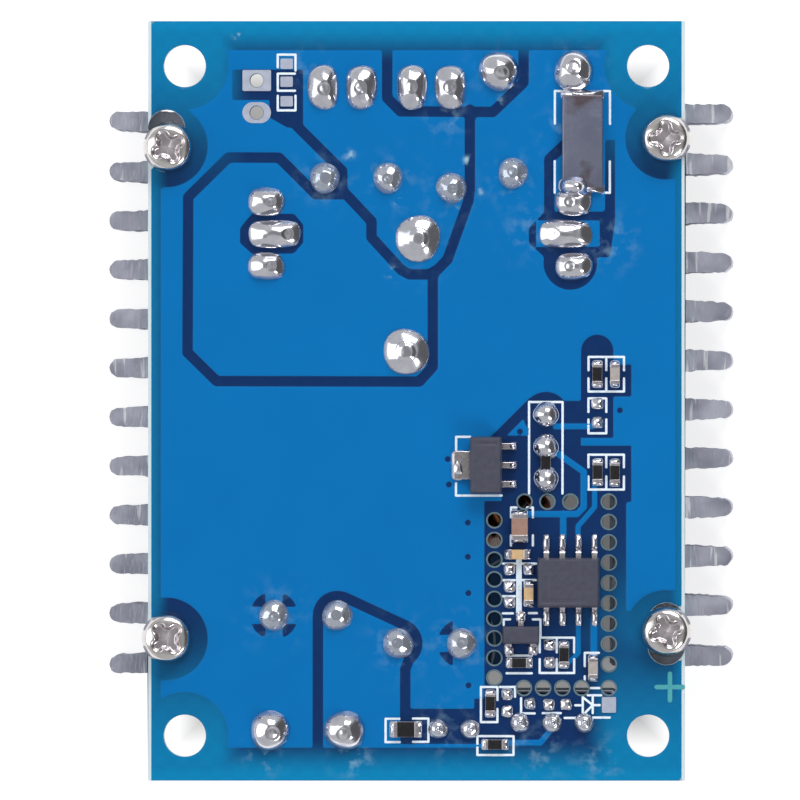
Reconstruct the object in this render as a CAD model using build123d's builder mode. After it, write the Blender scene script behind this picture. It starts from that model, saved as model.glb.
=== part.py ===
from build123d import *
from math import cos, radians, sin
import os

# Boost converter module: a blue circuit board with a finned heatsink along each long side.
# Millimetres. +X runs across the board, +Y along it, +Z out of its solder side.
# The origin is the middle of the solder face, which is also the middle of the four corner holes.
# The through-hole components stand on the other face, below z = -board_thickness.

# Circuit board
board_width = 42.4
board_length = 60.0
board_thickness = 1.6
corner_hole_radius = 1.65
corner_inset_x = 2.9
corner_inset_y = 3.55
corner_pitch_x = board_width - 2 * corner_inset_x
corner_pitch_y = board_length - 2 * corner_inset_y
board_end = board_length / 2

# Copper of the solder side, with the solder mask that covers it
copper_thickness = 0.1
copper_margin_left = 1.0
copper_margin_right = 0.75
copper_margin_top = 2.3
copper_margin_bottom = 2.6
trench_width = 0.83
corner_clearing_radius = 3.45
screw_clearing_radius = 3.26

# Heatsinks: one extrusion each, with twelve fins outward
sink_height = 20.5
sink_base = 3.0
sink_inner_face = 14.95
sink_reach = 24.6
sink_shift_x = 0.3
fin_count = 12
fin_thickness = 1.42
fin_pitch = 3.88
outer_fin_pitch = 4.02

# Screws that hold the heatsinks, in round holes and slots of the board
sink_hole_x = 19.75
sink_centre_y = 1.07
left_sink_slip = -0.4
right_sink_slip = 0.2
sink_hole_radius = 1.6
sink_slot_width = 2.9
sink_slot_travel = 2.0
sink_screw_head_radius = 1.92
sink_screw_head_height = 1.7
sink_screw_radius = 1.15
sink_screw_bite = 6.0
recess_length = 2.3
recess_width = 0.62
recess_depth = 1.0

# Power devices in upright three-lead packages, clamped to the heatsinks' inner faces
device_y = 13.18
device_width = 10.1
device_body_length = 9.2
tab_length = 6.4
device_thickness = 4.5
tab_thickness = 1.3
tab_hole_radius = 1.85
tab_hole_from_body = 3.6
device_standoff = 3.8
device_lead_pitch = 2.54
device_lead_depth = 2.6
device_lead_width = 0.8
device_lead_thickness = 0.5
pad_thickness = 0.2
pad_overhang = 1.0
clamp_screw_radius = 1.25
clamp_screw_bite = 2.7
clamp_head_radius = 2.7
clamp_head_height = 1.9
bush_flange_radius = 3.0
bush_flange_thickness = 0.8

# Electrolytic capacitors: centre, and the angle of the line through the leads
capacitors = {
    "input_capacitor_left": (-4.74, 17.6, 0),
    "input_capacitor_right": (5.2, 17.4, 13.5),
    "output_capacitor_left": (-8.75, -16.95, 0),
    "output_capacitor_right": (1.06, -19.16, 0),
}
capacitor_radius = 4.9
capacitor_height = 16.0
capacitor_lead_pitch = 5.0
capacitor_lead_radius = 0.3

# Toroidal inductor, lying flat on the board
inductor_y = -0.6
core_inner_radius = 6.45
core_outer_radius = 11.5
core_height = 7.6
wire_diameter = 1.45
turn_count = 22
first_turn_angle = 100.0
inductor_standoff = 0.3
inductor_leads = [
    (0.14, inductor_y + core_outer_radius + 1.33 * wire_diameter),
    (-0.8, inductor_y + core_inner_radius - 1.36 * wire_diameter),
]

# Screw terminals, two poles each, with rising wire cages
terminal_front = 3.97
terminal_pitch = 5.92
terminal_width = 10.8
terminal_back = 3.45
terminals = {
    "input": (9.47, board_end - terminal_front, 1),
    "output": (-8.61, terminal_front - board_end, -1),
}
terminal_height = 10.0
terminal_floor = 1.0
terminal_roof = 1.4
terminal_wall = 0.5
cage_width = 4.0
cage_height = 4.4
cage_length = 2.4
cage_wall = 0.8
cage_clearance = 0.2
cage_travel = 1.6
wire_opening_width = 2.6
wire_opening_height = 3.0
clamp_plate_width = 1.8
clamp_plate_thickness = 0.5
terminal_pin_width = 1.2
terminal_pin_thickness = 0.8
terminal_screw_offset = 1.75
terminal_screw_head_radius = 1.5
terminal_screw_head_height = 1.2
terminal_screw_radius = 1.05
driver_hole_radius = 1.35
screw_slot_width = 0.5
screw_slot_depth = 0.6
turning_clearance = 0.15

# Blade fuse in two sprung clips
fuse_x = -2.33
fuse_y = board_end - 5.23
fuse_blade_pitch = 7.03
fuse_blade_width = 2.8
fuse_blade_thickness = 0.65
fuse_blade_length = 6.5
fuse_body_width = 10.9
fuse_body_depth = 3.6
fuse_body_height = 8.4
clip_metal = 0.35
clip_width = 3.6
clip_height = 5.5
clip_leg_pitch = 3.02
clip_leg_width = 0.6
clip_leg_depth = 1.8

# Indicator lamp and multi-turn trimmer
lamp_position = (2.99, 4.08 - board_end)
lamp_radius = 1.5
lamp_height = 5.0
lamp_lead_pitch = 2.54
small_pin = 0.5
trimmer_position = (10.72, 4.58 - board_end)
trimmer_width = 9.5
trimmer_depth = 4.8
trimmer_height = 10.0
trimmer_pin_pitch = 2.54
trimmer_screw_radius = 1.1
trimmer_screw_height = 0.8
trimmer_screw_inset = 1.9

# Three plated holes that are filled with solder and hold no lead
select_row = (10.25, -3.62)
select_pitch = 2.54

# Rows of relief holes round the control circuit, each from its first hole to its last
relief_hole_radius = 0.56
relief_pitch = 1.6
relief_rows = [
    (6.16, -9.43, 6.16, -21.86),
    (15.2, -7.96, 15.2, -20.8),
    (8.54, -7.96, 12.16, -7.96),
    (8.49, -22.68, 13.05, -22.68),
    (15.2, -22.68, 15.2, -22.68),
]

# Empty fan header: two holes, with a square and an oval pad
fan_holes = [(-12.61, board_end - 4.69), (-12.62, board_end - 7.23)]
fan_hole_radius = 0.57
fan_pad_width = 2.27
fan_pad_height = 1.66
select_pads = [(-10.25, board_end - inset) for inset in (3.37, 4.79, 6.33)]
select_pad_width = 0.98
select_pad_height = 0.83
spare_pad = (15.21, -24.01)
spare_pad_width = 1.12
spare_pad_height = 1.25

# Solder joints of the leads
joint_height = 1.0
joint_slope = 42.0
terminal_joint_radius = 1.52
capacitor_joint_radius = 1.12
inductor_joint_radius = 1.82
inductor_joint_height = 1.3
small_joint_radius = 0.78
select_joint_radius = 1.04
clip_joint_width = 2.38
clip_joint_length = 3.4
device_joint_width = 2.86
device_joint_length = 2.1
middle_joint_width = 4.15
middle_joint_shift = 0.65

# Chip components on the solder side: x, y and 1 where the part stands along Y
resistors_0603 = [
    (14.3, 2.11, 1),
    (14.32, -5.63, 1),
    (15.68, -5.67, 1),
    (8.12, -20.69, 0),
    (11.67, -20.05, 1),
    (5.84, -23.91, 1),
    (6.21, -27.14, 0),
    (10.22, -4.9, 1),
]
select_resistor = resistors_0603[-1]
resistors_0805 = [(-0.83, -25.95, 0)]
capacitors_0603 = [(8.02, -12.13, 0), (8.88, -15.25, 1), (13.96, -21.12, 1), (15.69, 2.12, 1)]
capacitors_0805 = [(8.17, -9.94, 1)]
chip_0603 = (1.6, 0.82, 0.46)
chip_0805 = (2.02, 1.27, 0.56)
stack_0603 = (1.6, 0.8, 0.75)
stack_0805 = (2.1, 1.32, 1.15)
empty_pads = [
    (14.3, -0.23),
    (14.29, -1.71),
    (7.34, -13.31),
    (8.91, -13.3),
    (7.34, -14.66),
    (7.34, -15.93),
    (10.52, -19.28),
    (10.52, -20.66),
    (7.17, -23.18),
    (7.17, -24.52),
    (9.0, -23.9),
    (10.48, -23.99),
    (11.82, -23.97),
]
empty_pad_size = 0.92
solder_blob_height = 0.34
solder_blob_slope = 38.0

# Packages on the solder side
controller_position = (12.18, -14.16)
controller_size = (4.9, 3.9, 1.4)
controller_lead_span = 6.0
controller_lead_pitch = 1.27
regulator_position = (5.5, -5.08)
regulator_size = (2.5, 4.5, 1.5)
regulator_lead_pitch = 1.5
regulator_lead_reach = 1.05
regulator_lead_width = 0.5
regulator_tab_width = 2.25
regulator_tab_reach = 1.32
signal_position = (8.26, -18.38)
signal_size = (2.9, 1.35, 0.95)
signal_lead_span = 2.5
signal_lead_pitch = 1.9
package_draft = 7.0
package_gap = 0.12
lead_metal = 0.2
lead_foot = 0.7
shunt_position = (13.13, 20.49)
shunt_size = (3.2, 7.35, 0.8)

# Leads of the bent-lead packages, each as its offset along X and its side of the body
controller_steps = [
    (place * controller_lead_pitch, side) for place in (-1.5, -0.5, 0.5, 1.5) for side in (-1, 1)
]
signal_steps = [(0, 1), (-signal_lead_pitch / 2, -1), (signal_lead_pitch / 2, -1)]

# Sets of like chips
chip_sets = [
    (resistors_0603, chip_0603),
    (resistors_0805, chip_0805),
    (capacitors_0603, stack_0603),
    (capacitors_0805, stack_0805),
]

# Flats of the small round features, which keeps the solids light
relief_hole_side_count = 6
joint_side_count = 8
wire_side_count = 6
screw_side_count = 10
clearing_side_count = 14
can_side_count = 36

# Derived places
board_face = 0
component_face = -board_thickness
device_foot = component_face - device_standoff
device_length = device_body_length + tab_length
tab_hole_z = device_foot - device_body_length - tab_hole_from_body
sink_foot = component_face - sink_height
fin_root = sink_inner_face + sink_base
fin_span = (fin_count - 3) * fin_pitch + 2 * outer_fin_pitch
sink_slips = {"left": (-1, left_sink_slip), "right": (1, right_sink_slip)}
screw_offset_y = (fin_span - outer_fin_pitch) / 2
inductor_inner = core_inner_radius - wire_diameter
inductor_top = component_face - inductor_standoff
core_top = inductor_top - wire_diameter
turn_step = 360 / turn_count

os.makedirs("parts", exist_ok=True)


def keep(piece, label):
    """Names a finished piece and writes it."""
    piece.part.label = label
    export_step(piece.part, f"parts/{label}.step")


def oblong(width, length, mode=Mode.ADD):
    """Octagon with cut corners, the plan of a slot or of an oblong solder joint."""
    cut = min(width, length) * 0.3
    half_x = width / 2
    half_y = length / 2
    Polygon(
        (half_x, half_y - cut),
        (half_x - cut, half_y),
        (cut - half_x, half_y),
        (-half_x, half_y - cut),
        (-half_x, cut - half_y),
        (cut - half_x, -half_y),
        (half_x - cut, -half_y),
        (half_x, cut - half_y),
        align=None,
        mode=mode,
    )


def strip_outline(route, width):
    """Corners of a strip of even width along a run of straight lines, with mitred bends."""
    points = [Vector(*point) for point in route]
    runs = [(b - a).normalized() for a, b in zip(points, points[1:])]
    near = []
    far = []
    for index, point in enumerate(points):
        before = runs[max(index - 1, 0)]
        after = runs[min(index, len(runs) - 1)]
        side = Vector(-after.Y, after.X)
        across = (Vector(-before.Y, before.X) + side).normalized()
        reach = width / 2 / across.dot(side)
        near.append(point + across * reach)
        far.append(point - across * reach)
    return [(corner.X, corner.Y) for corner in near + far[::-1]]


def sink_screw_places():
    """Centres of the four heatsink screws, each between the two outermost fins of its heatsink."""
    return [
        (side * sink_hole_x, sink_centre_y + slip + end * screw_offset_y)
        for side, slip in sink_slips.values()
        for end in (1, -1)
    ]


def capacitor_lead_places():
    """Both lead centres of every electrolytic capacitor."""
    half = capacitor_lead_pitch / 2
    return [
        (x + end * half * cos(radians(angle)), y + end * half * sin(radians(angle)))
        for x, y, angle in capacitors.values()
        for end in (-1, 1)
    ]


def device_face(side):
    """X of the back of a power device's tab, which lies on its thermal pad."""
    return sink_shift_x + side * (sink_inner_face - pad_thickness)


def device_lead_x(side):
    """X of the plane of a power device's leads."""
    return device_face(side) - side * device_lead_depth


def device_lead_places(side):
    """The three lead centres of one power device, middle lead second."""
    return [(device_lead_x(side), device_y + step * device_lead_pitch) for step in (1, 0, -1)]


def terminal_pin_places(name):
    """The two pin centres of one screw terminal."""
    x, y, facing = terminals[name]
    return [(x + end * terminal_pitch / 2, y) for end in (-1, 1)]


def clip_places():
    """Centres of the two fuse clips."""
    return [(fuse_x + end * fuse_blade_pitch / 2, fuse_y) for end in (-1, 1)]


def clip_leg_places():
    """Centres of the clips' four legs."""
    return [(x + end * clip_leg_pitch / 2, y) for x, y in clip_places() for end in (-1, 1)]


def lamp_lead_places():
    """Both lead centres of the indicator lamp."""
    x, y = lamp_position
    return [(x + end * lamp_lead_pitch / 2, y) for end in (-1, 1)]


def trimmer_pin_places():
    """The three pin centres of the trimmer."""
    x, y = trimmer_position
    return [(x + step * trimmer_pin_pitch, y) for step in (-1, 0, 1)]


def select_joint_places():
    """Centres of the three solder-filled holes."""
    x, y = select_row
    return [(x, y + step * select_pitch) for step in (1, 0, -1)]


def relief_hole_places():
    """Centres of all relief holes, evenly spaced along each row."""
    places = []
    for x0, y0, x1, y1 in relief_rows:
        gaps = round(max(abs(x1 - x0), abs(y1 - y0)) / relief_pitch)
        for step in range(gaps + 1):
            share = step / max(gaps, 1)
            places.append((x0 + (x1 - x0) * share, y0 + (y1 - y0) * share))
    return places


def lead_plan():
    """Every lead's cross-section where it passes through the board."""
    flat_leads = [
        (device_lead_places(-1) + device_lead_places(1), device_lead_thickness, device_lead_width),
        (
            terminal_pin_places("input") + terminal_pin_places("output"),
            terminal_pin_width,
            terminal_pin_thickness,
        ),
        (clip_leg_places(), clip_leg_width, clip_leg_depth),
        (lamp_lead_places() + trimmer_pin_places(), small_pin, small_pin),
    ]
    with BuildSketch() as plan:
        for places, width, depth in flat_leads:
            with Locations(*places):
                Rectangle(width, depth)
        with Locations(*capacitor_lead_places()):
            RegularPolygon(capacitor_lead_radius, wire_side_count)
        with Locations(*inductor_leads):
            RegularPolygon(wire_diameter / 2, wire_side_count)
    return plan.sketch


lead_sections = lead_plan()

# Circuit board: routed glass-epoxy sheet, drilled for the corners, the heatsink screws, the
# leads, the empty fan header and the rows of relief holes
with BuildPart() as circuit_board:
    with BuildSketch() as board_plan:
        Rectangle(board_width, board_length)
        with GridLocations(corner_pitch_x, corner_pitch_y, 2, 2):
            Circle(corner_hole_radius, mode=Mode.SUBTRACT)
        for side in (-1, 1):
            with Locations((side * sink_hole_x, sink_centre_y + side * screw_offset_y)):
                RegularPolygon(sink_hole_radius, clearing_side_count, mode=Mode.SUBTRACT)
            with Locations((side * sink_hole_x, sink_centre_y - side * screw_offset_y)):
                oblong(sink_slot_width, sink_slot_width + sink_slot_travel, Mode.SUBTRACT)
        with Locations(*relief_hole_places()):
            RegularPolygon(relief_hole_radius, relief_hole_side_count, mode=Mode.SUBTRACT)
        with Locations(*fan_holes):
            RegularPolygon(fan_hole_radius, joint_side_count, mode=Mode.SUBTRACT)
        add(lead_sections, mode=Mode.SUBTRACT)
    extrude(amount=-board_thickness)
keep(circuit_board, "circuit_board")


# Solder joints: where each stands and how wide it is, used by the copper and by the joints
def joint_plan(grow=0.0):
    """Outlines of all round and oblong lead joints except the inductor's."""
    round_joints = [
        (terminal_pin_places("input") + terminal_pin_places("output"), terminal_joint_radius),
        (capacitor_lead_places(), capacitor_joint_radius),
        (lamp_lead_places() + trimmer_pin_places(), small_joint_radius),
        (select_joint_places(), select_joint_radius),
    ]
    with BuildSketch() as plan:
        for places, radius in round_joints:
            with Locations(*places):
                RegularPolygon(radius + grow, joint_side_count)
        with Locations(*clip_leg_places()):
            oblong(clip_joint_width + 2 * grow, clip_joint_length + 2 * grow)
        for side in (-1, 1):
            upper, middle, lower = device_lead_places(side)
            with Locations(upper, lower):
                oblong(device_joint_width + 2 * grow, device_joint_length + 2 * grow)
            with Locations((middle[0] - side * middle_joint_shift, middle[1])):
                oblong(middle_joint_width + 2 * grow, device_joint_length + 2 * grow)
    return plan.sketch


# Copper islands: the poured areas and tracks that show through the blue solder mask, parted by
# trenches. The outlines are routed by hand, as on the real board.
trench_routes = [
    [
        (-5.7, 16.32),
        (-7.96, 16.33),
        (-10.85, 19.21),
        (-14.85, 19.23),
        (-18.03, 16.1),
        (-18.08, 3.82),
        (-15.78, 1.56),
        (0.24, 1.52),
        (1.3, 2.7),
        (1.3, 10.2),
    ],
    [
        (-9.7, 21.97),
        (-5.86, 18.17),
        (-5.86, 16.64),
        (-3.54, 14.18),
        (-3.55, 12.92),
        (-1.2, 10.35),
        (-0.57, 9.99),
        (1.3, 9.99),
        (2.46, 11.17),
        (4.12, 15.81),
        (4.23, 16.83),
        (4.23, 23.0),
    ],
    [(-2.3, 28.0), (-2.31, 23.93), (-1.26, 22.87), (6.05, 22.82), (8.46, 25.13), (8.47, 28.0)],
    [(10.5, 14.9), (10.5, 19.1), (11.9, 20.4)],
    [(6.2, -3.1), (9.2, -0.1)],
]
output_trench_x = -7.79
output_trench_turns = [(-6.23, -16.96), (-1.47, -19.16)]
output_trench_radius = 1.55
output_trench_end = -26.4

# Areas without copper: the fan header, the middle pads of both power devices with the shunt's
# side, and the rectangles that make up the control circuit, as low corner and high corner
bare_polygons = [
    [
        (-14.55, 26.17),
        (-8.95, 26.17),
        (-8.95, 21.58),
        (-10.2, 21.58),
        (-11.6, 22.38),
        (-11.6, 23.76),
        (-14.55, 23.76),
    ],
    [
        (10.15, 14.95),
        (8.88, 13.65),
        (8.88, 12.45),
        (10.13, 11.34),
        (15.29, 11.34),
        (15.7, 14.2),
        (15.7, 20.6),
        (14.9, 20.6),
        (14.9, 14.95),
    ],
    [
        (-13.0, 14.78),
        (-9.66, 14.78),
        (-8.94, 13.93),
        (-8.94, 12.5),
        (-9.68, 11.63),
        (-13.0, 11.63),
        (-13.93, 12.46),
        (-13.93, 13.67),
    ],
]
bare_rectangles = [
    (5.37, -27.5, 16.58, -7.9),
    (6.73, -8.0, 13.0, -2.75),
    (8.88, -2.8, 13.49, 0.0),
    (13.0, -2.93, 15.56, 3.69),
    (15.5, 0.34, 16.98, 2.86),
    (12.9, -8.0, 16.98, -3.54),
    (-1.26, -27.1, 8.3, -24.32),
    (4.57, -24.4, 5.45, -23.52),
    (16.5, -28.0, 21.0, -16.6),
]
bare_discs = [(10.24, -1.09, 1.8), (14.29, 3.95, 1.28), (12.16, 10.9, 2.12)]
device_islands = [(9.46, 12.16, 14.48, 14.25)]

# Tracks laid across the bare areas, each with its width
tracks = [
    ([(14.0, -2.01), (11.0, -2.02)], 0.46),
    ([(10.8, -3.9), (13.22, -5.6), (13.22, -8.39), (12.69, -8.94), (8.6, -8.95)], 0.5),
    ([(11.6, -8.9), (11.6, -11.2)], 0.5),
    ([(14.08, -6.6), (14.08, -8.39), (12.77, -9.9), (12.77, -11.2)], 0.4),
    ([(12.8, -17.2), (12.8, -19.92), (12.0, -20.7)], 0.36),
    ([(14.02, -17.2), (14.02, -20.3)], 0.52),
    ([(6.9, -27.0), (9.8, -27.0), (10.7, -25.9)], 0.46),
]

thermal_reliefs = [(capacitor_lead_places()[4], 1), (capacitor_lead_places()[7], 0)]
relief_inner_radius = 1.0
relief_outer_radius = 1.9
relief_spoke = 1.35


def copper_plan():
    """The copper islands in plan: the pour, less trenches and bare areas, plus tracks and pads."""
    left = copper_margin_left - board_width / 2
    right = board_width / 2 - copper_margin_right
    bottom = copper_margin_bottom - board_length / 2
    top = board_length / 2 - copper_margin_top
    with BuildSketch() as plan:
        Polygon((left, bottom), (right, bottom), (right, top), (left, top), align=None)
        with GridLocations(corner_pitch_x, corner_pitch_y, 2, 2):
            RegularPolygon(corner_clearing_radius, clearing_side_count, mode=Mode.SUBTRACT)
        for side in (-1, 1):
            for end in (-1, 1):
                with Locations((side * sink_hole_x, sink_centre_y + end * screw_offset_y)):
                    RegularPolygon(screw_clearing_radius, clearing_side_count, mode=Mode.SUBTRACT)
        for route in trench_routes:
            Polygon(*strip_outline(route, trench_width), align=None, mode=Mode.SUBTRACT)
        add(output_trench(), mode=Mode.SUBTRACT)
        for outline in bare_polygons:
            Polygon(*outline, align=None, mode=Mode.SUBTRACT)
        for x0, y0, x1, y1 in bare_rectangles:
            Polygon((x0, y0), (x1, y0), (x1, y1), (x0, y1), align=None, mode=Mode.SUBTRACT)
        for x, y, radius in bare_discs:
            with Locations((x, y)):
                RegularPolygon(radius, clearing_side_count, mode=Mode.SUBTRACT)
        for x0, y0, x1, y1 in device_islands:
            Polygon((x0, y0), (x1, y0), (x1, y1), (x0, y1), align=None)
        for route, width in tracks:
            Polygon(*strip_outline(route, width), align=None)
        for place, both_sides in thermal_reliefs:
            add(thermal_relief(place, both_sides), mode=Mode.SUBTRACT)
        add(joint_plan())
        with Locations(*fan_holes):
            Rectangle(fan_pad_width, fan_pad_height, mode=Mode.SUBTRACT)
        with Locations(*select_pads):
            Rectangle(select_pad_width, select_pad_height, mode=Mode.SUBTRACT)
        add(surface_footprints(), mode=Mode.SUBTRACT)
    return plan.sketch


def surface_footprints():
    """Outlines of all that is soldered flat on the board, where it replaces the mask."""
    with BuildSketch() as plan:
        for places, size in chip_sets:
            add(chip_plan(places, size))
        with Locations(*empty_pads):
            Rectangle(empty_pad_size, empty_pad_size)
        with Locations(shunt_position):
            Rectangle(shunt_size[0], shunt_size[1])
        add(regulator_feet())
        for x, y, reach in controller_feet() + signal_feet():
            with Locations((x, y)):
                Rectangle(2 * lead_metal, reach)
    return plan.sketch


def chip_plan(places, size):
    """Outlines of a set of like chips, each turned the way it stands."""
    with BuildSketch() as plan:
        for x, y, upright in places:
            with Locations((x, y)):
                Rectangle(size[0], size[1], rotation=90 * upright)
    return plan.sketch


def package_feet(position, span, steps):
    """Middle and length of the foot of each bent lead."""
    reach = (span - lead_foot) / 2
    return [(position[0] + step, position[1] + side * reach, lead_foot) for step, side in steps]


def controller_feet():
    """Feet of the control circuit's eight leads."""
    return package_feet(controller_position, controller_lead_span, controller_steps)


def signal_feet():
    """Feet of the signal transistor's three leads."""
    return package_feet(signal_position, signal_lead_span, signal_steps)


def regulator_feet():
    """Outlines of the regulator's three flat leads and of its tab."""
    half = regulator_size[0] / 2
    lead_x = regulator_position[0] + half + regulator_lead_reach / 2
    tab_x = regulator_position[0] - half - regulator_tab_reach / 2
    with BuildSketch() as plan:
        for step in (-1, 0, 1):
            with Locations((lead_x, regulator_position[1] + step * regulator_lead_pitch)):
                Rectangle(regulator_lead_reach, regulator_lead_width)
        with Locations((tab_x, regulator_position[1])):
            Rectangle(regulator_tab_reach, regulator_tab_width)
    return plan.sketch


def output_trench():
    """The trench that rises between the output pins and bends round two capacitor leads."""
    first, second = [Vector(*centre) for centre in output_trench_turns]
    lean = Axis((0, 0, 0), (0, 0, 1))
    across = (second - first).normalized().rotate(lean, 90) * output_trench_radius
    with BuildSketch() as plan:
        for centre in (first, second):
            with Locations(centre):
                RegularPolygon(output_trench_radius + trench_width / 2, clearing_side_count)
        run = [tuple(first + across)[:2], tuple(second + across)[:2]]
        Polygon(*strip_outline(run, trench_width), align=None)
        rise = [(output_trench_x, output_trench_turns[0][1]), (output_trench_x, -board_length / 2)]
        Polygon(*strip_outline(rise, trench_width), align=None)
        with Locations(first, second):
            RegularPolygon(
                output_trench_radius - trench_width / 2, clearing_side_count, mode=Mode.SUBTRACT
            )
        inside = [
            (first.X - output_trench_radius + trench_width / 2, first.Y),
            (first.X + output_trench_radius * 2, first.Y + 0.2),
            tuple(second + across * 0.7)[:2],
            (second.X, second.Y - output_trench_radius - trench_width),
            (first.X - output_trench_radius + trench_width / 2, second.Y - output_trench_radius * 2),
        ]
        Polygon(*inside, align=None, mode=Mode.SUBTRACT)
        fall = [(second.X + 0.6, second.Y - 0.9), (second.X + 0.6, output_trench_end)]
        Polygon(*strip_outline(fall, trench_width), align=None)
    return plan.sketch


def thermal_relief(place, both_sides):
    """Ring of wedges that parts a pad from its pour, bridged by four spokes."""
    with BuildSketch() as plan:
        with Locations(place):
            RegularPolygon(relief_outer_radius, joint_side_count)
            RegularPolygon(relief_inner_radius, joint_side_count, mode=Mode.SUBTRACT)
            Rectangle(2 * relief_outer_radius, relief_spoke, mode=Mode.SUBTRACT)
            Rectangle(relief_spoke, 2 * relief_outer_radius, mode=Mode.SUBTRACT)
        if not both_sides:
            with Locations((place[0] + relief_outer_radius, place[1])):
                Rectangle(2 * relief_outer_radius, 3 * relief_outer_radius, mode=Mode.SUBTRACT)
    return plan.sketch


with BuildPart() as copper_islands:
    add(copper_plan())
    extrude(amount=copper_thickness)
keep(copper_islands, "copper_islands")

# Bare pads: the empty fan header, the three pads that choose its supply and one unused chip pad
with BuildPart() as bare_pads:
    with BuildSketch():
        with Locations(fan_holes[0]):
            Rectangle(fan_pad_width, fan_pad_height)
        with Locations(fan_holes[1]):
            oblong(fan_pad_width, fan_pad_height)
        with Locations(*select_pads):
            Rectangle(select_pad_width, select_pad_height)
        with Locations(spare_pad):
            Rectangle(spare_pad_width, spare_pad_height)
        with Locations(*fan_holes):
            RegularPolygon(fan_hole_radius, joint_side_count, mode=Mode.SUBTRACT)
    extrude(amount=copper_thickness)
keep(bare_pads, "bare_pads")

# Solder joints of the leads: cones of solder on the pads, over the lead ends
with BuildPart() as lead_joints:
    with BuildSketch(Plane.XY.offset(copper_thickness)):
        add(joint_plan())
    extrude(amount=joint_height, taper=joint_slope / 2)
    with BuildSketch(Plane.XY.offset(copper_thickness)):
        with Locations(*inductor_leads):
            RegularPolygon(inductor_joint_radius, joint_side_count)
    extrude(amount=inductor_joint_height, taper=joint_slope / 2)
    with BuildSketch():
        add(chip_plan([select_resistor], chip_0603))
    extrude(amount=chip_0603[2], mode=Mode.SUBTRACT)
keep(lead_joints, "lead_joints")

# Solder left on chip pads that carry no part, drawn up into low pyramids
with BuildPart() as solder_blobs:
    with BuildSketch():
        with Locations(*empty_pads):
            Rectangle(empty_pad_size, empty_pad_size)
    extrude(amount=solder_blob_height, taper=solder_blob_slope)
keep(solder_blobs, "solder_blobs")

# Heatsinks: aluminium extrusions, cut square, whose ends butt against the board
for name, (side, slip) in sink_slips.items():
    centre_y = sink_centre_y + slip
    inner_steps = [(step - (fin_count - 3) / 2) * fin_pitch for step in range(fin_count - 2)]
    fin_places = [centre_y + step for step in [-fin_span / 2, *inner_steps, fin_span / 2]]
    tip = sink_reach - fin_thickness / 2
    with BuildPart() as heatsink:
        with BuildSketch(Plane.XY.offset(component_face)):
            with Locations((sink_shift_x + side * (sink_inner_face + sink_base / 2), centre_y)):
                Rectangle(sink_base, fin_span + fin_thickness)
            for fin_y in fin_places:
                with Locations((sink_shift_x + side * (fin_root + tip) / 2, fin_y)):
                    Rectangle(tip - fin_root, fin_thickness)
                with Locations((sink_shift_x + side * tip, fin_y)):
                    RegularPolygon(fin_thickness / 2, 8, major_radius=False, rotation=22.5)
        extrude(amount=-sink_height)
        inner_plane = Plane(
            origin=(sink_shift_x + side * sink_inner_face, device_y, tab_hole_z),
            x_dir=(0, 1, 0),
            z_dir=(side, 0, 0),
        )
        with BuildSketch(inner_plane):
            RegularPolygon(clamp_screw_radius, joint_side_count)
        extrude(amount=clamp_screw_bite, mode=Mode.SUBTRACT)
    keep(heatsink, f"{name}_heatsink")

# Heatsink screws: four pan heads with a cross recess, driven from the solder side into the gap
# between two fins
with BuildPart() as heatsink_screws:
    with BuildSketch():
        with Locations(*sink_screw_places()):
            RegularPolygon(sink_screw_head_radius, screw_side_count)
    extrude(amount=sink_screw_head_height)
    chamfer(heatsink_screws.faces().group_by(Axis.Z)[-1].edges(), sink_screw_head_height / 3)
    with BuildSketch(Plane.XY.offset(sink_screw_head_height)):
        with Locations(*sink_screw_places()):
            Rectangle(recess_length, recess_width)
            Rectangle(recess_width, recess_length)
    extrude(amount=-recess_depth, mode=Mode.SUBTRACT)
    with BuildSketch():
        with Locations(*sink_screw_places()):
            RegularPolygon(sink_screw_radius, joint_side_count)
    extrude(amount=-board_thickness - sink_screw_bite)
keep(heatsink_screws, "heatsink_screws")

# Power devices: a moulded body on a metal tab, with three leads down through the board
device_names = {"transistor": -1, "rectifier": 1}
for name, side in device_names.items():
    back = device_face(side)
    with BuildPart() as body:
        with BuildSketch(Plane.XY.offset(device_foot)):
            with Locations((back - side * (tab_thickness + device_thickness) / 2, device_y)):
                Rectangle(device_thickness - tab_thickness, device_width)
        extrude(amount=-device_body_length)
        front_edges = body.faces().sort_by(Axis.X)[0 if side > 0 else -1].edges()
        chamfer(front_edges.filter_by(Axis.Y), length=0.8)
    keep(body, f"{name}_body")

    back_plane = Plane(origin=(back, device_y, tab_hole_z), x_dir=(0, 1, 0), z_dir=(-side, 0, 0))
    with BuildPart() as leadframe:
        with BuildSketch(Plane.XY.offset(device_foot)):
            with Locations((back - side * tab_thickness / 2, device_y)):
                Rectangle(tab_thickness, device_width)
        extrude(amount=-device_length)
        with BuildSketch(back_plane):
            RegularPolygon(tab_hole_radius, joint_side_count)
        extrude(amount=tab_thickness, mode=Mode.SUBTRACT)
        with BuildSketch():
            with Locations(*device_lead_places(side)):
                Rectangle(device_lead_thickness, device_lead_width)
        extrude(amount=device_foot)
    keep(leadframe, f"{name}_leadframe")

    with BuildPart() as thermal_pad:
        with BuildSketch(Plane.XY.offset(device_foot + pad_overhang)):
            with Locations((back + side * pad_thickness / 2, device_y)):
                Rectangle(pad_thickness, device_width + pad_overhang)
        extrude(amount=-device_length - 1.5 * pad_overhang)
        with BuildSketch(back_plane):
            RegularPolygon(tab_hole_radius, joint_side_count)
        extrude(amount=-pad_thickness, mode=Mode.SUBTRACT)
    keep(thermal_pad, f"{name}_thermal_pad")

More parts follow.
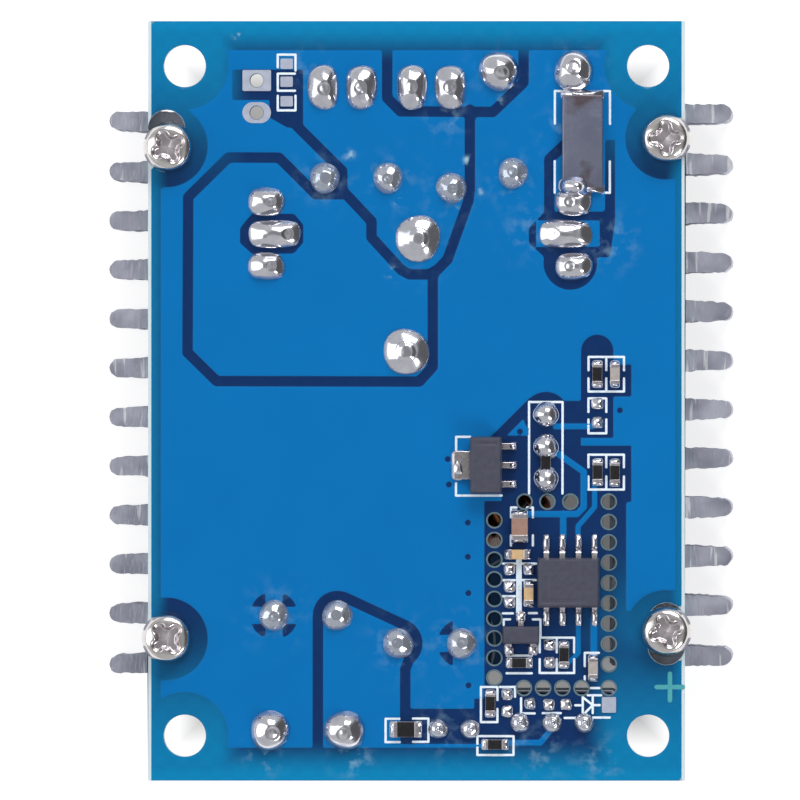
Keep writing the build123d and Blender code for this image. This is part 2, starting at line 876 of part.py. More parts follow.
# Clamp screws and their insulating bushes, through the tabs into the heatsinks
with BuildPart() as insulating_bushes:
    for side in device_names.values():
        face_x = device_face(side) - side * tab_thickness
        seat = Plane(origin=(face_x, device_y, tab_hole_z), x_dir=(0, 1, 0), z_dir=(-side, 0, 0))
        with BuildSketch(seat):
            RegularPolygon(bush_flange_radius, joint_side_count)
            RegularPolygon(clamp_screw_radius, joint_side_count, mode=Mode.SUBTRACT)
        extrude(amount=bush_flange_thickness)
        with BuildSketch(seat):
            RegularPolygon(tab_hole_radius, joint_side_count)
            RegularPolygon(clamp_screw_radius, joint_side_count, mode=Mode.SUBTRACT)
        extrude(amount=-tab_thickness)
keep(insulating_bushes, "insulating_bushes")

with BuildPart() as clamp_screws:
    for side in device_names.values():
        seat_x = device_face(side) - side * (tab_thickness + bush_flange_thickness)
        seat = Plane(origin=(seat_x, device_y, tab_hole_z), x_dir=(0, 1, 0), z_dir=(-side, 0, 0))
        with BuildSketch(seat):
            RegularPolygon(clamp_head_radius, screw_side_count)
        extrude(amount=clamp_head_height)
        with BuildSketch(seat):
            RegularPolygon(clamp_screw_radius, joint_side_count)
        shank = bush_flange_thickness + tab_thickness + pad_thickness + clamp_screw_bite
        extrude(amount=-shank)
keep(clamp_screws, "clamp_screws")

# Electrolytic capacitors: sleeved aluminium cans, leads down through the board
for index, (name, (x, y, angle)) in enumerate(capacitors.items()):
    with BuildPart() as capacitor:
        with BuildSketch(Plane.XY.offset(component_face)):
            with Locations((x, y)):
                RegularPolygon(capacitor_radius, can_side_count)
        extrude(amount=-capacitor_height)
        with BuildSketch():
            with Locations(*capacitor_lead_places()[2 * index : 2 * index + 2]):
                RegularPolygon(capacitor_lead_radius, wire_side_count)
        extrude(amount=component_face)
    keep(capacitor, name)

# Inductor: a pressed ring core with one flat to a turn, wound with thick enamelled wire. The
# turns touch inside the ring, and both wire ends run down through the board.
ring_centre = (0, inductor_y)
with BuildPart() as inductor_core:
    with BuildSketch(Plane.XY.offset(core_top)):
        with Locations(ring_centre):
            turned = first_turn_angle
            RegularPolygon(core_outer_radius, turn_count, major_radius=False, rotation=turned)
            RegularPolygon(
                core_inner_radius,
                turn_count,
                major_radius=False,
                rotation=turned,
                mode=Mode.SUBTRACT,
            )
    extrude(amount=-core_height)
keep(inductor_core, "inductor_core")

with BuildPart() as inductor_winding:
    for turn in range(turn_count):
        angle = radians(first_turn_angle + (turn + 0.5) * turn_step)
        outward = Vector(cos(angle), sin(angle), 0)
        turn_plane = Plane(
            origin=Vector(0, inductor_y, core_top - core_height / 2)
            + outward * (core_inner_radius + core_outer_radius) / 2,
            x_dir=outward,
            z_dir=(-outward.Y, outward.X, 0),
        )
        core_depth = core_outer_radius - core_inner_radius
        with BuildSketch(turn_plane):
            Rectangle(core_depth + 2 * wire_diameter, core_height + 2 * wire_diameter)
            Rectangle(core_depth, core_height, mode=Mode.SUBTRACT)
        extrude(amount=wire_diameter / 2, both=True)
    with BuildSketch():
        with Locations(*inductor_leads):
            RegularPolygon(wire_diameter / 2, wire_side_count)
    extrude(amount=core_top - core_height / 2)
keep(inductor_winding, "inductor_winding")

# Screw terminals: moulded housings, bent pins, and in each pole a cage that its screw lifts
# against the clamp plate
cage_rest = terminal_floor + cage_clearance
clamp_plate_level = cage_rest + cage_height - cage_wall - cage_clearance - clamp_plate_thickness
screw_head_level = terminal_height - terminal_roof - turning_clearance
for name, (x, y, facing) in terminals.items():
    middle_y = y + facing * (terminal_front - terminal_back) / 2
    pocket_back = y - facing * (terminal_pin_thickness / 2 + turning_clearance)
    pocket_front = y + facing * (terminal_front - terminal_wall)
    screw_y = y + facing * terminal_screw_offset
    poles = {"left": x - terminal_pitch / 2, "right": x + terminal_pitch / 2}
    with BuildPart() as housing:
        with BuildSketch(Plane.XY.offset(component_face)):
            with Locations((x, middle_y)):
                Rectangle(terminal_width, terminal_front + terminal_back)
        extrude(amount=-terminal_height)
        back_top = housing.edges().filter_by(Axis.X).group_by(Axis.Z)[0]
        chamfer(back_top.sort_by(Axis.Y)[-1 if facing > 0 else 0], length=1.4)
        with BuildSketch(Plane.XY.offset(component_face - terminal_floor)):
            with Locations(*[(pole_x, (pocket_back + pocket_front) / 2) for pole_x in poles.values()]):
                Rectangle(cage_width + 2 * cage_clearance, abs(pocket_front - pocket_back))
        extrude(amount=terminal_floor + terminal_roof - terminal_height, mode=Mode.SUBTRACT)
        front_face = Plane(
            origin=(x, y + facing * terminal_front, component_face - cage_rest - cage_height / 2),
            x_dir=(1, 0, 0),
            z_dir=(0, -facing, 0),
        )
        with BuildSketch(front_face):
            with Locations((-terminal_pitch / 2, 0), (terminal_pitch / 2, 0)):
                Rectangle(wire_opening_width, wire_opening_height)
        extrude(amount=terminal_wall, mode=Mode.SUBTRACT)
        with BuildSketch(Plane.XY.offset(component_face - terminal_height)):
            with Locations(*[(pole_x, screw_y) for pole_x in poles.values()]):
                RegularPolygon(driver_hole_radius, joint_side_count)
        extrude(amount=terminal_roof, mode=Mode.SUBTRACT)
        with BuildSketch(Plane.XY.offset(component_face)):
            with Locations(*terminal_pin_places(name)):
                Rectangle(terminal_pin_width, terminal_pin_thickness)
        extrude(amount=-terminal_floor, mode=Mode.SUBTRACT)
    keep(housing, f"{name}_terminal_housing")

    with BuildPart() as pins:
        with BuildSketch():
            with Locations(*terminal_pin_places(name)):
                Rectangle(terminal_pin_width, terminal_pin_thickness)
        extrude(amount=component_face - clamp_plate_level - clamp_plate_thickness)
        plate_length = abs(pocket_front - y) - cage_clearance
        plate_y = y + facing * plate_length / 2
        with BuildSketch(Plane.XY.offset(component_face - clamp_plate_level)):
            with Locations(*[(pole_x, plate_y) for pole_x in poles.values()]):
                Rectangle(clamp_plate_width, plate_length)
        extrude(amount=-clamp_plate_thickness)
    keep(pins, f"{name}_terminal_pins")

    for pole, pole_x in poles.items():
        cage_front = Plane(
            origin=(
                pole_x,
                screw_y - facing * cage_length / 2,
                component_face - cage_rest - cage_height / 2,
            ),
            x_dir=(1, 0, 0),
            z_dir=(0, facing, 0),
        )
        with BuildPart() as cage:
            with BuildSketch(cage_front):
                Rectangle(cage_width, cage_height)
                Rectangle(cage_width - 2 * cage_wall, cage_height - 2 * cage_wall, mode=Mode.SUBTRACT)
            extrude(amount=cage_length)
            with BuildSketch(Plane.XY.offset(component_face - cage_rest - cage_height)):
                with Locations((pole_x, screw_y)):
                    RegularPolygon(
                        terminal_screw_radius + turning_clearance, joint_side_count, major_radius=False
                    )
            extrude(amount=cage_wall, mode=Mode.SUBTRACT)
        keep(cage, f"{name}_{pole}_cage")

        head_seat = component_face - screw_head_level
        with BuildPart() as screw:
            with BuildSketch(Plane.XY.offset(head_seat)):
                with Locations((pole_x, screw_y)):
                    RegularPolygon(terminal_screw_head_radius, joint_side_count)
            extrude(amount=terminal_screw_head_height)
            with BuildSketch(Plane.XY.offset(head_seat)):
                with Locations((pole_x, screw_y)):
                    Rectangle(2 * terminal_screw_head_radius, screw_slot_width)
            extrude(amount=screw_slot_depth, mode=Mode.SUBTRACT)
            tip_level = clamp_plate_level + clamp_plate_thickness + turning_clearance
            with BuildSketch(Plane.XY.offset(head_seat + terminal_screw_head_height)):
                with Locations((pole_x, screw_y)):
                    Circle(terminal_screw_radius)
            extrude(amount=screw_head_level - terminal_screw_head_height - tip_level)
        keep(screw, f"{name}_{pole}_screw")

# Blade fuse: two folded spring clips soldered to the board, a stamped link and a moulded body
with BuildPart() as fuse_clips:
    leaf_gap = fuse_blade_thickness
    for clip_x, clip_y in clip_places():
        side_plane = Plane(
            origin=(clip_x - fuse_blade_width / 2, clip_y, component_face),
            x_dir=(0, 1, 0),
            z_dir=(1, 0, 0),
        )
        with BuildSketch(side_plane):
            with Locations((0, -clip_height / 2)):
                Rectangle(leaf_gap + 2 * clip_metal, clip_height)
            with Locations((0, -(clip_height + clip_metal) / 2)):
                Rectangle(leaf_gap, clip_height - clip_metal, mode=Mode.SUBTRACT)
        extrude(amount=fuse_blade_width)
    with BuildSketch(Plane.XY.offset(component_face)):
        with Locations(*clip_places()):
            Rectangle(clip_width, clip_leg_depth)
    extrude(amount=-clip_metal)
    with BuildSketch():
        with Locations(*clip_leg_places()):
            Rectangle(clip_leg_width, clip_leg_depth)
    extrude(amount=component_face - clip_metal)
keep(fuse_clips, "fuse_clips")

fuse_body_foot = component_face - clip_metal - turning_clearance - fuse_blade_length
with BuildPart() as fuse_blades:
    with BuildSketch(Plane.XY.offset(fuse_body_foot)):
        with Locations(*clip_places()):
            Rectangle(fuse_blade_width, fuse_blade_thickness)
    extrude(amount=fuse_blade_length)
keep(fuse_blades, "fuse_blades")

with BuildPart() as fuse_body:
    with BuildSketch(Plane.XY.offset(fuse_body_foot)):
        with Locations((fuse_x, fuse_y)):
            Rectangle(fuse_body_width, fuse_body_depth)
    extrude(amount=-fuse_body_height)
    waist = Plane(
        origin=(fuse_x, fuse_y, fuse_body_foot),
        x_dir=(1, 0, 0),
        z_dir=(0, 1, 0),
    )
    with BuildSketch(waist):
        with Locations((0, 0)):
            Rectangle(fuse_body_width / 3, fuse_body_height)
    extrude(amount=fuse_body_depth / 2, both=True, mode=Mode.SUBTRACT)
keep(fuse_body, "fuse_body")

# Indicator lamp: a domed cap on two leads
with BuildPart() as lamp:
    with BuildSketch(Plane.XY.offset(component_face)):
        with Locations(lamp_position):
            RegularPolygon(lamp_radius, screw_side_count)
    extrude(amount=-lamp_height)
    chamfer(lamp.faces().sort_by(Axis.Z)[0].edges(), lamp_radius / 2)
keep(lamp, "indicator_lamp")

with BuildPart() as lamp_leads:
    with BuildSketch():
        with Locations(*lamp_lead_places()):
            Rectangle(small_pin, small_pin)
    extrude(amount=component_face)
keep(lamp_leads, "indicator_lamp_leads")

# Trimmer: a moulded block with its adjusting screw in the top, near one end
trimmer_screw_x = trimmer_position[0] - trimmer_width / 2 + trimmer_screw_inset
with BuildPart() as trimmer_body:
    with BuildSketch(Plane.XY.offset(component_face)):
        with Locations(trimmer_position):
            Rectangle(trimmer_width, trimmer_depth)
    extrude(amount=-trimmer_height)
keep(trimmer_body, "trimmer_body")

with BuildPart() as trimmer_pins:
    with BuildSketch():
        with Locations(*trimmer_pin_places()):
            Rectangle(small_pin, small_pin)
    extrude(amount=component_face)
keep(trimmer_pins, "trimmer_pins")

with BuildPart() as trimmer_screw:
    with BuildSketch(Plane.XY.offset(component_face - trimmer_height)):
        with Locations((trimmer_screw_x, trimmer_position[1])):
            Circle(trimmer_screw_radius)
    extrude(amount=-trimmer_screw_height)
    with BuildSketch(Plane.XY.offset(component_face - trimmer_height - trimmer_screw_height)):
        with Locations((trimmer_screw_x, trimmer_position[1])):
            Rectangle(2 * trimmer_screw_radius, screw_slot_width)
    extrude(amount=screw_slot_depth, mode=Mode.SUBTRACT)
keep(trimmer_screw, "trimmer_screw")


# Chip resistors and capacitors: small ceramic blocks
with BuildPart() as chip_resistors:
    for places, size in chip_sets[:2]:
        with BuildSketch():
            add(chip_plan(places, size))
        extrude(amount=size[2])
keep(chip_resistors, "chip_resistors")

with BuildPart() as chip_capacitors:
    for places, size in chip_sets[2:]:
        with BuildSketch():
            add(chip_plan(places, size))
        extrude(amount=size[2])
keep(chip_capacitors, "chip_capacitors")

# Current shunt: a strip of resistance alloy beside the rectifier
with BuildPart() as current_shunt:
    with BuildSketch():
        with Locations(shunt_position):
            Rectangle(shunt_size[0], shunt_size[1])
    extrude(amount=shunt_size[2])
keep(current_shunt, "current_shunt")


# Moulded packages: two drafted halves that meet at the leads
def parting_level(size):
    """Height of the line where a package's halves meet and its leads leave."""
    return board_face + package_gap + size[2] / 2


def moulded_body(position, size):
    """A package body, drafted up and down from its parting line."""
    with BuildPart() as body:
        for direction in (1, -1):
            with BuildSketch(Plane.XY.offset(parting_level(size))):
                with Locations(position):
                    Rectangle(size[0], size[1])
            extrude(amount=direction * size[2] / 2, taper=package_draft)
    return body


def gull_leads(position, size, span, steps):
    """Bent leads of a package, from its parting line out and down to their feet."""
    middle = parting_level(size)
    start = size[1] / 2
    shoulder = start + 2 * lead_metal
    foot = span / 2 - lead_foot
    half = lead_metal / 2
    with BuildPart() as leads:
        for step, side in steps:
            lead_plane = Plane(
                origin=(position[0] + step - side * lead_metal, position[1], 0),
                x_dir=(0, side, 0),
                z_dir=(side, 0, 0),
            )
            with BuildSketch(lead_plane):
                Polygon(
                    (start, middle + half),
                    (shoulder, middle + half),
                    (foot + lead_metal, board_face + lead_metal),
                    (span / 2, board_face + lead_metal),
                    (span / 2, board_face),
                    (foot, board_face),
                    (shoulder - lead_metal, middle - half),
                    (start, middle - half),
                    align=None,
                )
            extrude(amount=2 * lead_metal)
    return leads


keep(moulded_body(controller_position, controller_size), "controller_body")
keep(
    gull_leads(controller_position, controller_size, controller_lead_span, controller_steps),
    "controller_leads",
)

keep(moulded_body(signal_position, signal_size), "signal_transistor_body")
keep(
    gull_leads(signal_position, signal_size, signal_lead_span, signal_steps),
    "signal_transistor_leads",
)

keep(moulded_body(regulator_position, regulator_size), "regulator_body")
with BuildPart() as regulator_leads:
    with BuildSketch():
        add(regulator_feet())
    extrude(amount=2 * lead_metal)
keep(regulator_leads, "regulator_leads")
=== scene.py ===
from math import cos, radians, sin
import bmesh
import bpy
import numpy as np
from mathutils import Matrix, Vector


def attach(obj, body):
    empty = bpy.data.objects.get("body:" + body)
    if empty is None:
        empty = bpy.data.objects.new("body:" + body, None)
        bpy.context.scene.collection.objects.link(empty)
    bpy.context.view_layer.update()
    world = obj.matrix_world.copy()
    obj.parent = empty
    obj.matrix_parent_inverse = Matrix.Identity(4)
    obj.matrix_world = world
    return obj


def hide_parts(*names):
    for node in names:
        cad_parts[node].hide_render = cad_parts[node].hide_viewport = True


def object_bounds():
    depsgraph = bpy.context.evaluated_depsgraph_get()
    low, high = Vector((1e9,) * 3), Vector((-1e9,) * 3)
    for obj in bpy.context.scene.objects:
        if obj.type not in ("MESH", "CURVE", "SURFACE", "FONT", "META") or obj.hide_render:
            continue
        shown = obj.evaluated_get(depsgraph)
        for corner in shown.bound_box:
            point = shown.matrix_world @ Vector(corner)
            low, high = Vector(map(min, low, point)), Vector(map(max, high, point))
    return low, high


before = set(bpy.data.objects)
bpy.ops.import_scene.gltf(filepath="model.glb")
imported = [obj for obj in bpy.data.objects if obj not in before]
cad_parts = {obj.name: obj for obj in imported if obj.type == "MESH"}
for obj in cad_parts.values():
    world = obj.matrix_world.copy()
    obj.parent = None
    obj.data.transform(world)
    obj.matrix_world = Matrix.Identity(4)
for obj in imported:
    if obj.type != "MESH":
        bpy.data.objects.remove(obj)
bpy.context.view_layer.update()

# Camera
# A long lens 2.5 metres above the solder face, turned a little towards the right heatsink. One
# millimetre of the board takes 12.66 pixels of a frame 800 pixels wide.
camera_distance = 2.5
camera_turn = radians(1.0)
camera_aim = (-0.001295, 0.00007)
camera_sensor = 36.0
camera_data = bpy.data.cameras.new("camera")
camera_data.sensor_width = camera_sensor
camera_data.lens = 12.66 * 1000 * camera_distance * camera_sensor / 800
camera_data.clip_end = 10.0
camera = bpy.data.objects.new("camera", camera_data)
camera.location = (
    camera_aim[0] + camera_distance * sin(camera_turn), camera_aim[1],
    camera_distance * cos(camera_turn)
)
camera.rotation_euler = (0, camera_turn, 0)
bpy.context.collection.objects.link(camera)
bpy.context.scene.camera = camera
bpy.context.scene.view_settings.view_transform = "Standard"


def linear(code):
    """Linear colour of an sRGB hex code: the sRGB curve undone for each of its three bytes."""
    share = np.array([int(code[start : start + 2], 16) for start in (0, 2, 4)]) / 255
    share = np.where(share <= 0.04045, share / 12.92, ((share + 0.055) / 1.055) ** 2.4)
    return (*share.tolist(), 1.0)


def fill(made, inputs):
    """Sets a node's inputs, by name or number, to values or joins them to a socket or a node."""
    for key, value in inputs.items():
        if isinstance(value, bpy.types.Node):
            value = next(socket for socket in value.outputs if socket.enabled)
        if isinstance(value, bpy.types.NodeSocket):
            made.id_data.links.new(value, made.inputs[key])
        else:
            made.inputs[key].default_value = value


def node(tree, kind, inputs=None, **settings):
    """Adds a node: its properties are set first, then its inputs are filled."""
    made = tree.nodes.new("ShaderNode" + kind)
    for name, value in settings.items():
        setattr(made, name, value)
    fill(made, inputs or {})
    return made


# Studio
# A white table and three soft boxes: a strong one behind, a small one in front to the right and
# a broad one to the left. The room round them is grey, darker to the right, which metal shows.
soft_boxes = [
    ("back_box", (0.16, 0.52, 0.36), (0.46, 0.26), 2.7),
    ("front_box", (0.36, -0.40, 0.34), (0.20, 0.20), 1.1),
    ("left_box", (-0.60, 0.02, 0.42), (0.55, 0.70), 1.7),
]
for name, place, size, power in soft_boxes:
    lamp = bpy.data.lights.new(name, "AREA")
    lamp.shape = "RECTANGLE"
    lamp.size, lamp.size_y = size
    lamp.energy = power
    holder = bpy.data.objects.new(name, lamp)
    holder.location = place
    holder.rotation_euler = (-holder.location).to_track_quat("-Z", "Y").to_euler()
    bpy.context.collection.objects.link(holder)

room = bpy.data.worlds.new("room")
room.use_nodes = True
bpy.context.scene.world = room
tree = room.node_tree
tree.nodes.clear()
rays = node(tree, "LightPath")
upward = node(tree, "SeparateXYZ", {0: node(tree, "TexCoord").outputs["Generated"]})
overhead = node(
    tree, "MapRange",
    {
        "Value": upward.outputs["Z"], "From Min": 0.75, "From Max": 0.97, "To Min": 0.6,
        "To Max": 0.3
    },
    interpolation_type="SMOOTHSTEP"
)
dark_wall = node(
    tree, "MapRange",
    {"Value": upward.outputs["X"], "From Min": 0.45, "From Max": 0.8, "To Min": 1.0, "To Max": 0.2},
    interpolation_type="SMOOTHSTEP"
)
grey_room = node(
    tree, "Math", {0: overhead.outputs["Result"], 1: dark_wall.outputs["Result"]},
    operation="MULTIPLY"
)
level = node(tree, "Mix", {0: rays.outputs["Is Camera Ray"], 2: grey_room, 3: 1.0})
light = node(tree, "Background", {"Color": (1, 1, 1, 1), "Strength": level})
node(tree, "OutputWorld", {"Surface": light})

table_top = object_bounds()[0][2] - 0.00005
table_mesh = bpy.data.meshes.new("table")
table_mesh.from_pydata(
    [(x, y, table_top) for x, y in ((-4, -4), (4, -4), (4, 4), (-4, 4))], [], [(0, 1, 2, 3)]
)
table = bpy.data.objects.new("table", table_mesh)
bpy.context.collection.objects.link(table)
table_white = bpy.data.materials.new("white_table")
table_white.use_nodes = True
tree = table_white.node_tree
tree.nodes.clear()
rays = node(tree, "LightPath")
seen = node(
    tree, "Math", {0: rays.outputs["Is Camera Ray"], 1: rays.outputs["Is Glossy Ray"]},
    operation="MAXIMUM"
)
seen = node(tree, "Math", {0: seen, 1: rays.outputs["Is Transmission Ray"]}, operation="MAXIMUM")
# Painted shadow: under the board's footprint the table glows at 0.12 rather than 0.8, a shadow
# painted beneath the board
beyond = node(
    tree, "VectorMath", {0: node(tree, "TexCoord").outputs["Object"]}, operation="ABSOLUTE"
)
beyond = node(tree, "SeparateXYZ", {0: beyond})
painted_shadow_side = node(
    tree, "MapRange",
    {
        "Value": beyond.outputs["X"], "From Min": 0.0165, "From Max": 0.0195, "To Min": 0.12,
        "To Max": 0.8
    }
)
painted_shadow_end = node(
    tree, "MapRange",
    {
        "Value": beyond.outputs["Y"], "From Min": 0.0245, "From Max": 0.0275, "To Min": 0.12,
        "To Max": 0.8
    }
)
painted_shadow_level = node(tree, "Math", {0: painted_shadow_side, 1: painted_shadow_end}, operation="MAXIMUM")
glow = node(tree, "Math", {0: seen, 1: painted_shadow_level}, operation="MULTIPLY")
glow = node(tree, "Emission", {"Strength": glow})
paint = node(tree, "BsdfDiffuse", {"Color": (0.4, 0.4, 0.4, 1)})
both = node(tree, "AddShader", {0: glow, 1: paint})
node(tree, "OutputMaterial", {"Surface": both})
table_mesh.materials.append(table_white)

# Board sheet
# A sheet of glass-epoxy laminate, 1.6 mm thick, routed to size and drilled. Its pale raw edge shows
# all round and in the holes, and a thin strip of it shows where the solder mask stops short.
board_half = (21.2, 30.0)
board_thickness = 1.6
corner_holes = [(x, y, 1.65) for x in (-18.3, 18.3) for y in (-26.45, 26.45)]
sink_holes = [(-19.75, -18.4, 1.6), (19.75, 20.54, 1.6)]
sink_slots = [(-19.75, 20.54), (19.75, -18.4)]
sink_slot_half = (1.45, 2.45)
relief_rows = [
    (6.16, -9.43, 6.16, -21.86, 9), (15.2, -7.96, 15.2, -20.8, 9), (8.54, -7.96, 12.16, -7.96, 3),
    (8.49, -22.68, 13.05, -22.68, 4), (15.2, -22.68, 15.2, -22.68, 1)
]
relief_radius = 0.56
relief_holes = [
    (x, y, relief_radius)
    for x0, y0, x1, y1, count in relief_rows
    for x, y in zip(np.linspace(x0, x1, count), np.linspace(y0, y1, count))
]
fan_holes = [(-12.61, 25.31, 0.57), (-12.62, 22.77, 0.57)]
laminate_colour = "CDDCE4"
laminate_dark = "9FB4B4"
glass_pitch = 0.5


def loop(x, y, half_x, half_y, radius=None, count=48):
    """Closed outline of a rounded rectangle: a circle whose quarters are drawn apart."""
    angle = (np.arange(count) + 0.5) * 2 * np.pi / count
    radius = radius or min(half_x, half_y)
    spread = np.array([half_x - radius, half_y - radius])
    ring = np.stack([np.cos(angle), np.sin(angle)], -1)
    return np.array([x, y]) + ring * radius + np.sign(ring) * spread


def plate(outlines, low, high):
    """Plate between two heights; its first outline is the rim and the others are holes."""
    curve = bpy.data.curves.new("outline", "CURVE")
    curve.dimensions = "2D"
    curve.fill_mode = "BOTH"
    curve.extrude = (high - low) / 2
    for outline in outlines:
        spline = curve.splines.new("POLY")
        spline.points.add(len(outline) - 1)
        corners = np.ones((len(outline), 4))
        corners[:, :2] = outline
        corners[:, 2] = 0
        spline.points.foreach_set("co", corners.ravel())
        spline.use_cyclic_u = True
    holder = bpy.data.objects.new("outline", curve)
    mesh = bpy.data.meshes.new_from_object(holder)
    points = np.empty(len(mesh.vertices) * 3)
    mesh.vertices.foreach_get("co", points)
    points = points.reshape(-1, 3) + (0, 0, (low + high) / 2)
    mesh.calc_loop_triangles()
    faces = np.empty(len(mesh.loop_triangles) * 3, int)
    mesh.loop_triangles.foreach_get("vertices", faces)
    bpy.data.objects.remove(holder)
    bpy.data.meshes.remove(mesh)
    return points, [faces.reshape(-1, 3)]


def joined(shells):
    """One mesh of many: the points are stacked and each shell's faces count on from the last."""
    points, faces, start = [], [], 0
    for shell_points, shell_faces in shells:
        points.append(shell_points.reshape(-1, 3))
        faces += [block + start for block in shell_faces]
        start += len(points[-1])
    return np.concatenate(points), faces


def piece(name, shape, material, replaces=(), body="board", shut=True, crease=35):
    """New piece from points in mm: welded, faced outward if shut, smooth below a crease."""
    points, faces = shape
    mesh = bpy.data.meshes.new(name)
    corners = [face for block in faces for face in block.tolist()]
    mesh.from_pydata((points / 1000).tolist(), [], corners)
    if shut:
        work = bmesh.new()
        work.from_mesh(mesh)
        bmesh.ops.remove_doubles(work, verts=work.verts, dist=1e-6)
        bmesh.ops.recalc_face_normals(work, faces=work.faces)
        work.to_mesh(mesh)
        work.free()
    mesh.polygons.foreach_set("use_smooth", np.ones(len(mesh.polygons), bool))
    mesh.set_sharp_from_angle(angle=radians(crease))
    made = bpy.data.objects.new(name, mesh)
    bpy.context.collection.objects.link(made)
    mesh.materials.append(material)
    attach(made, body)
    if replaces:
        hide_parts(*replaces)
    return made


def finish(name):
    """New material with one glossy shader: gives it, its tree, the shader and the object place."""
    material = bpy.data.materials.new(name)
    material.use_nodes = True
    tree = material.node_tree
    shader = tree.nodes["Principled BSDF"]
    place = node(tree, "TexCoord").outputs["Object"]
    return material, tree, shader, place


# Glass-epoxy laminate, raw where routed and drilled: pale, matt, with the ends of the glass
# bundles showing as fine bands half a millimetre apart
laminate, tree, shader, place = finish("raw_glass_epoxy")
bundles = node(
    tree, "TexWave",
    {"Vector": place, "Scale": 2 * np.pi / (glass_pitch * 0.001) / 20, "Distortion": 2.5},
    bands_direction="Z"
)
dust = node(tree, "TexNoise", {"Vector": place, "Scale": 2500.0, "Detail": 4.0})
share = node(tree, "Math", {0: bundles.outputs["Fac"], 1: dust}, operation="MULTIPLY")
tint = node(
    tree, "Mix", {0: share, 6: linear(laminate_colour), 7: linear(laminate_dark)}, data_type="RGBA"
)
grain = node(tree, "Bump", {"Strength": 0.5, "Distance": 0.00003, "Height": dust})
fill(shader, {"Base Color": tint, "Roughness": 0.72, "Normal": grain})

rim = np.array(
    [(x * board_half[0], y * board_half[1]) for x, y in ((-1, -1), (1, -1), (1, 1), (-1, 1))]
)
round_holes = corner_holes + sink_holes + relief_holes + fan_holes
board_outlines = [rim] + [loop(x, y, r, r) for x, y, r in round_holes]
board_outlines += [loop(x, y, *sink_slot_half) for x, y in sink_slots]
piece(
    "laminate_sheet", plate(board_outlines, -board_thickness, 0), laminate,
    ["circuit_board"]
)

# Solder mask
# The blue lacquer over the whole solder face, a few hundredths of a millimetre thick. It stands
# proud and looks bright where copper lies under it, and is dark in the trenches between.
mask_edge_x = 20.95
mask_level = 0.03
copper_level = 0.1
pour = ((-20.2, -27.4), (20.45, 27.7))
corner_clearing = 3.45
screw_clearing = 3.26
screw_rings = [(-19.75, 20.14), (-19.75, -18.8), (19.75, 20.74), (19.75, -18.2)]
trench_half = 0.415
bend = np.radians(np.linspace(0, 1, 9))
output_trench = [
    (-7.79, -30.5),
    *zip(-6.23 + 1.55 * np.cos(np.pi - bend * 115), -16.96 + 1.55 * np.sin(np.pi - bend * 115)),
    *zip(-1.47 + 1.55 * np.cos(1.13 - bend * 120), -19.16 + 1.55 * np.sin(1.13 - bend * 120)),
    (-0.88, -21.2), (-0.88, -26.4)
]
trenches = [
    [
        (-5.7, 16.32), (-7.96, 16.33), (-10.85, 19.21), (-14.85, 19.23), (-18.03, 16.1),
        (-18.08, 3.82), (-15.78, 1.56), (0.24, 1.52), (1.3, 2.7), (1.3, 10.2)
    ],
    [
        (-9.7, 21.97), (-5.86, 18.17), (-5.86, 16.64), (-3.54, 14.18), (-3.55, 12.92),
        (-1.2, 10.35), (-0.57, 9.99), (1.3, 9.99), (2.46, 11.17), (4.12, 15.81), (4.23, 16.83),
        (4.23, 23.0)
    ],
    [(-2.3, 28.0), (-2.31, 23.93), (-1.26, 22.87), (6.05, 22.82), (8.46, 25.13), (8.47, 28.0)],
    [(10.5, 14.9), (10.5, 19.1), (11.9, 20.4)], [(6.2, -3.1), (9.2, -0.1)], output_trench
]
bare_outlines = [
    [(-14.55, 26.17), (-8.95, 26.17), (-8.95, 21.58), (-10.2, 21.58), (-11.6, 22.38),
     (-11.6, 23.76), (-14.55, 23.76)],
    [(10.15, 14.95), (8.88, 13.65), (8.88, 12.45), (10.13, 11.34), (15.29, 11.34),
     (15.7, 14.2), (15.7, 20.6), (14.9, 20.6), (14.9, 14.95)],
    [(-13.0, 14.78), (-9.66, 14.78), (-8.94, 13.93), (-8.94, 12.5), (-9.68, 11.63),
     (-13.0, 11.63), (-13.93, 12.46), (-13.93, 13.67)],
]
bare_boxes = [
    (5.37, -27.5, 16.58, -7.9), (6.73, -8.0, 13.0, -2.75), (8.88, -2.8, 13.49, 0.0),
    (13.0, -2.93, 15.56, 3.69), (15.5, 0.34, 16.98, 2.86), (12.9, -8.0, 16.98, -3.54),
    (-1.26, -27.1, 8.3, -24.32), (4.57, -24.4, 5.45, -23.52), (16.5, -28.0, 21.0, -16.6)
]
bare_rounds = [(10.24, -1.09, 1.8), (14.29, 3.95, 1.28), (12.16, 10.9, 2.12)]
covered_vias = [
    (8.18, -2.43), (2.48, -4.6), (2.57, -6.61), (4.07, -9.62), (4.07, -12.32), (4.11, -15.19),
    (4.12, -22.47), (16.08, -0.75)
]
tracks = [
    ([(14.0, -2.01), (11.0, -2.02)], 0.46),
    ([(10.8, -3.9), (13.22, -5.6), (13.22, -8.39), (12.69, -8.94), (8.6, -8.95)], 0.5),
    ([(11.6, -8.9), (11.6, -11.2)], 0.5),
    ([(14.08, -6.6), (14.08, -8.39), (12.77, -9.9), (12.77, -11.2)], 0.4),
    ([(12.8, -17.2), (12.8, -19.92), (12.0, -20.7)], 0.36),
    ([(14.02, -17.2), (14.02, -20.3)], 0.52), ([(6.9, -27.0), (9.8, -27.0), (10.7, -25.9)], 0.46)
]
relief_wedges = [(-11.25, -16.95, 1), (3.56, -19.16, 0)]
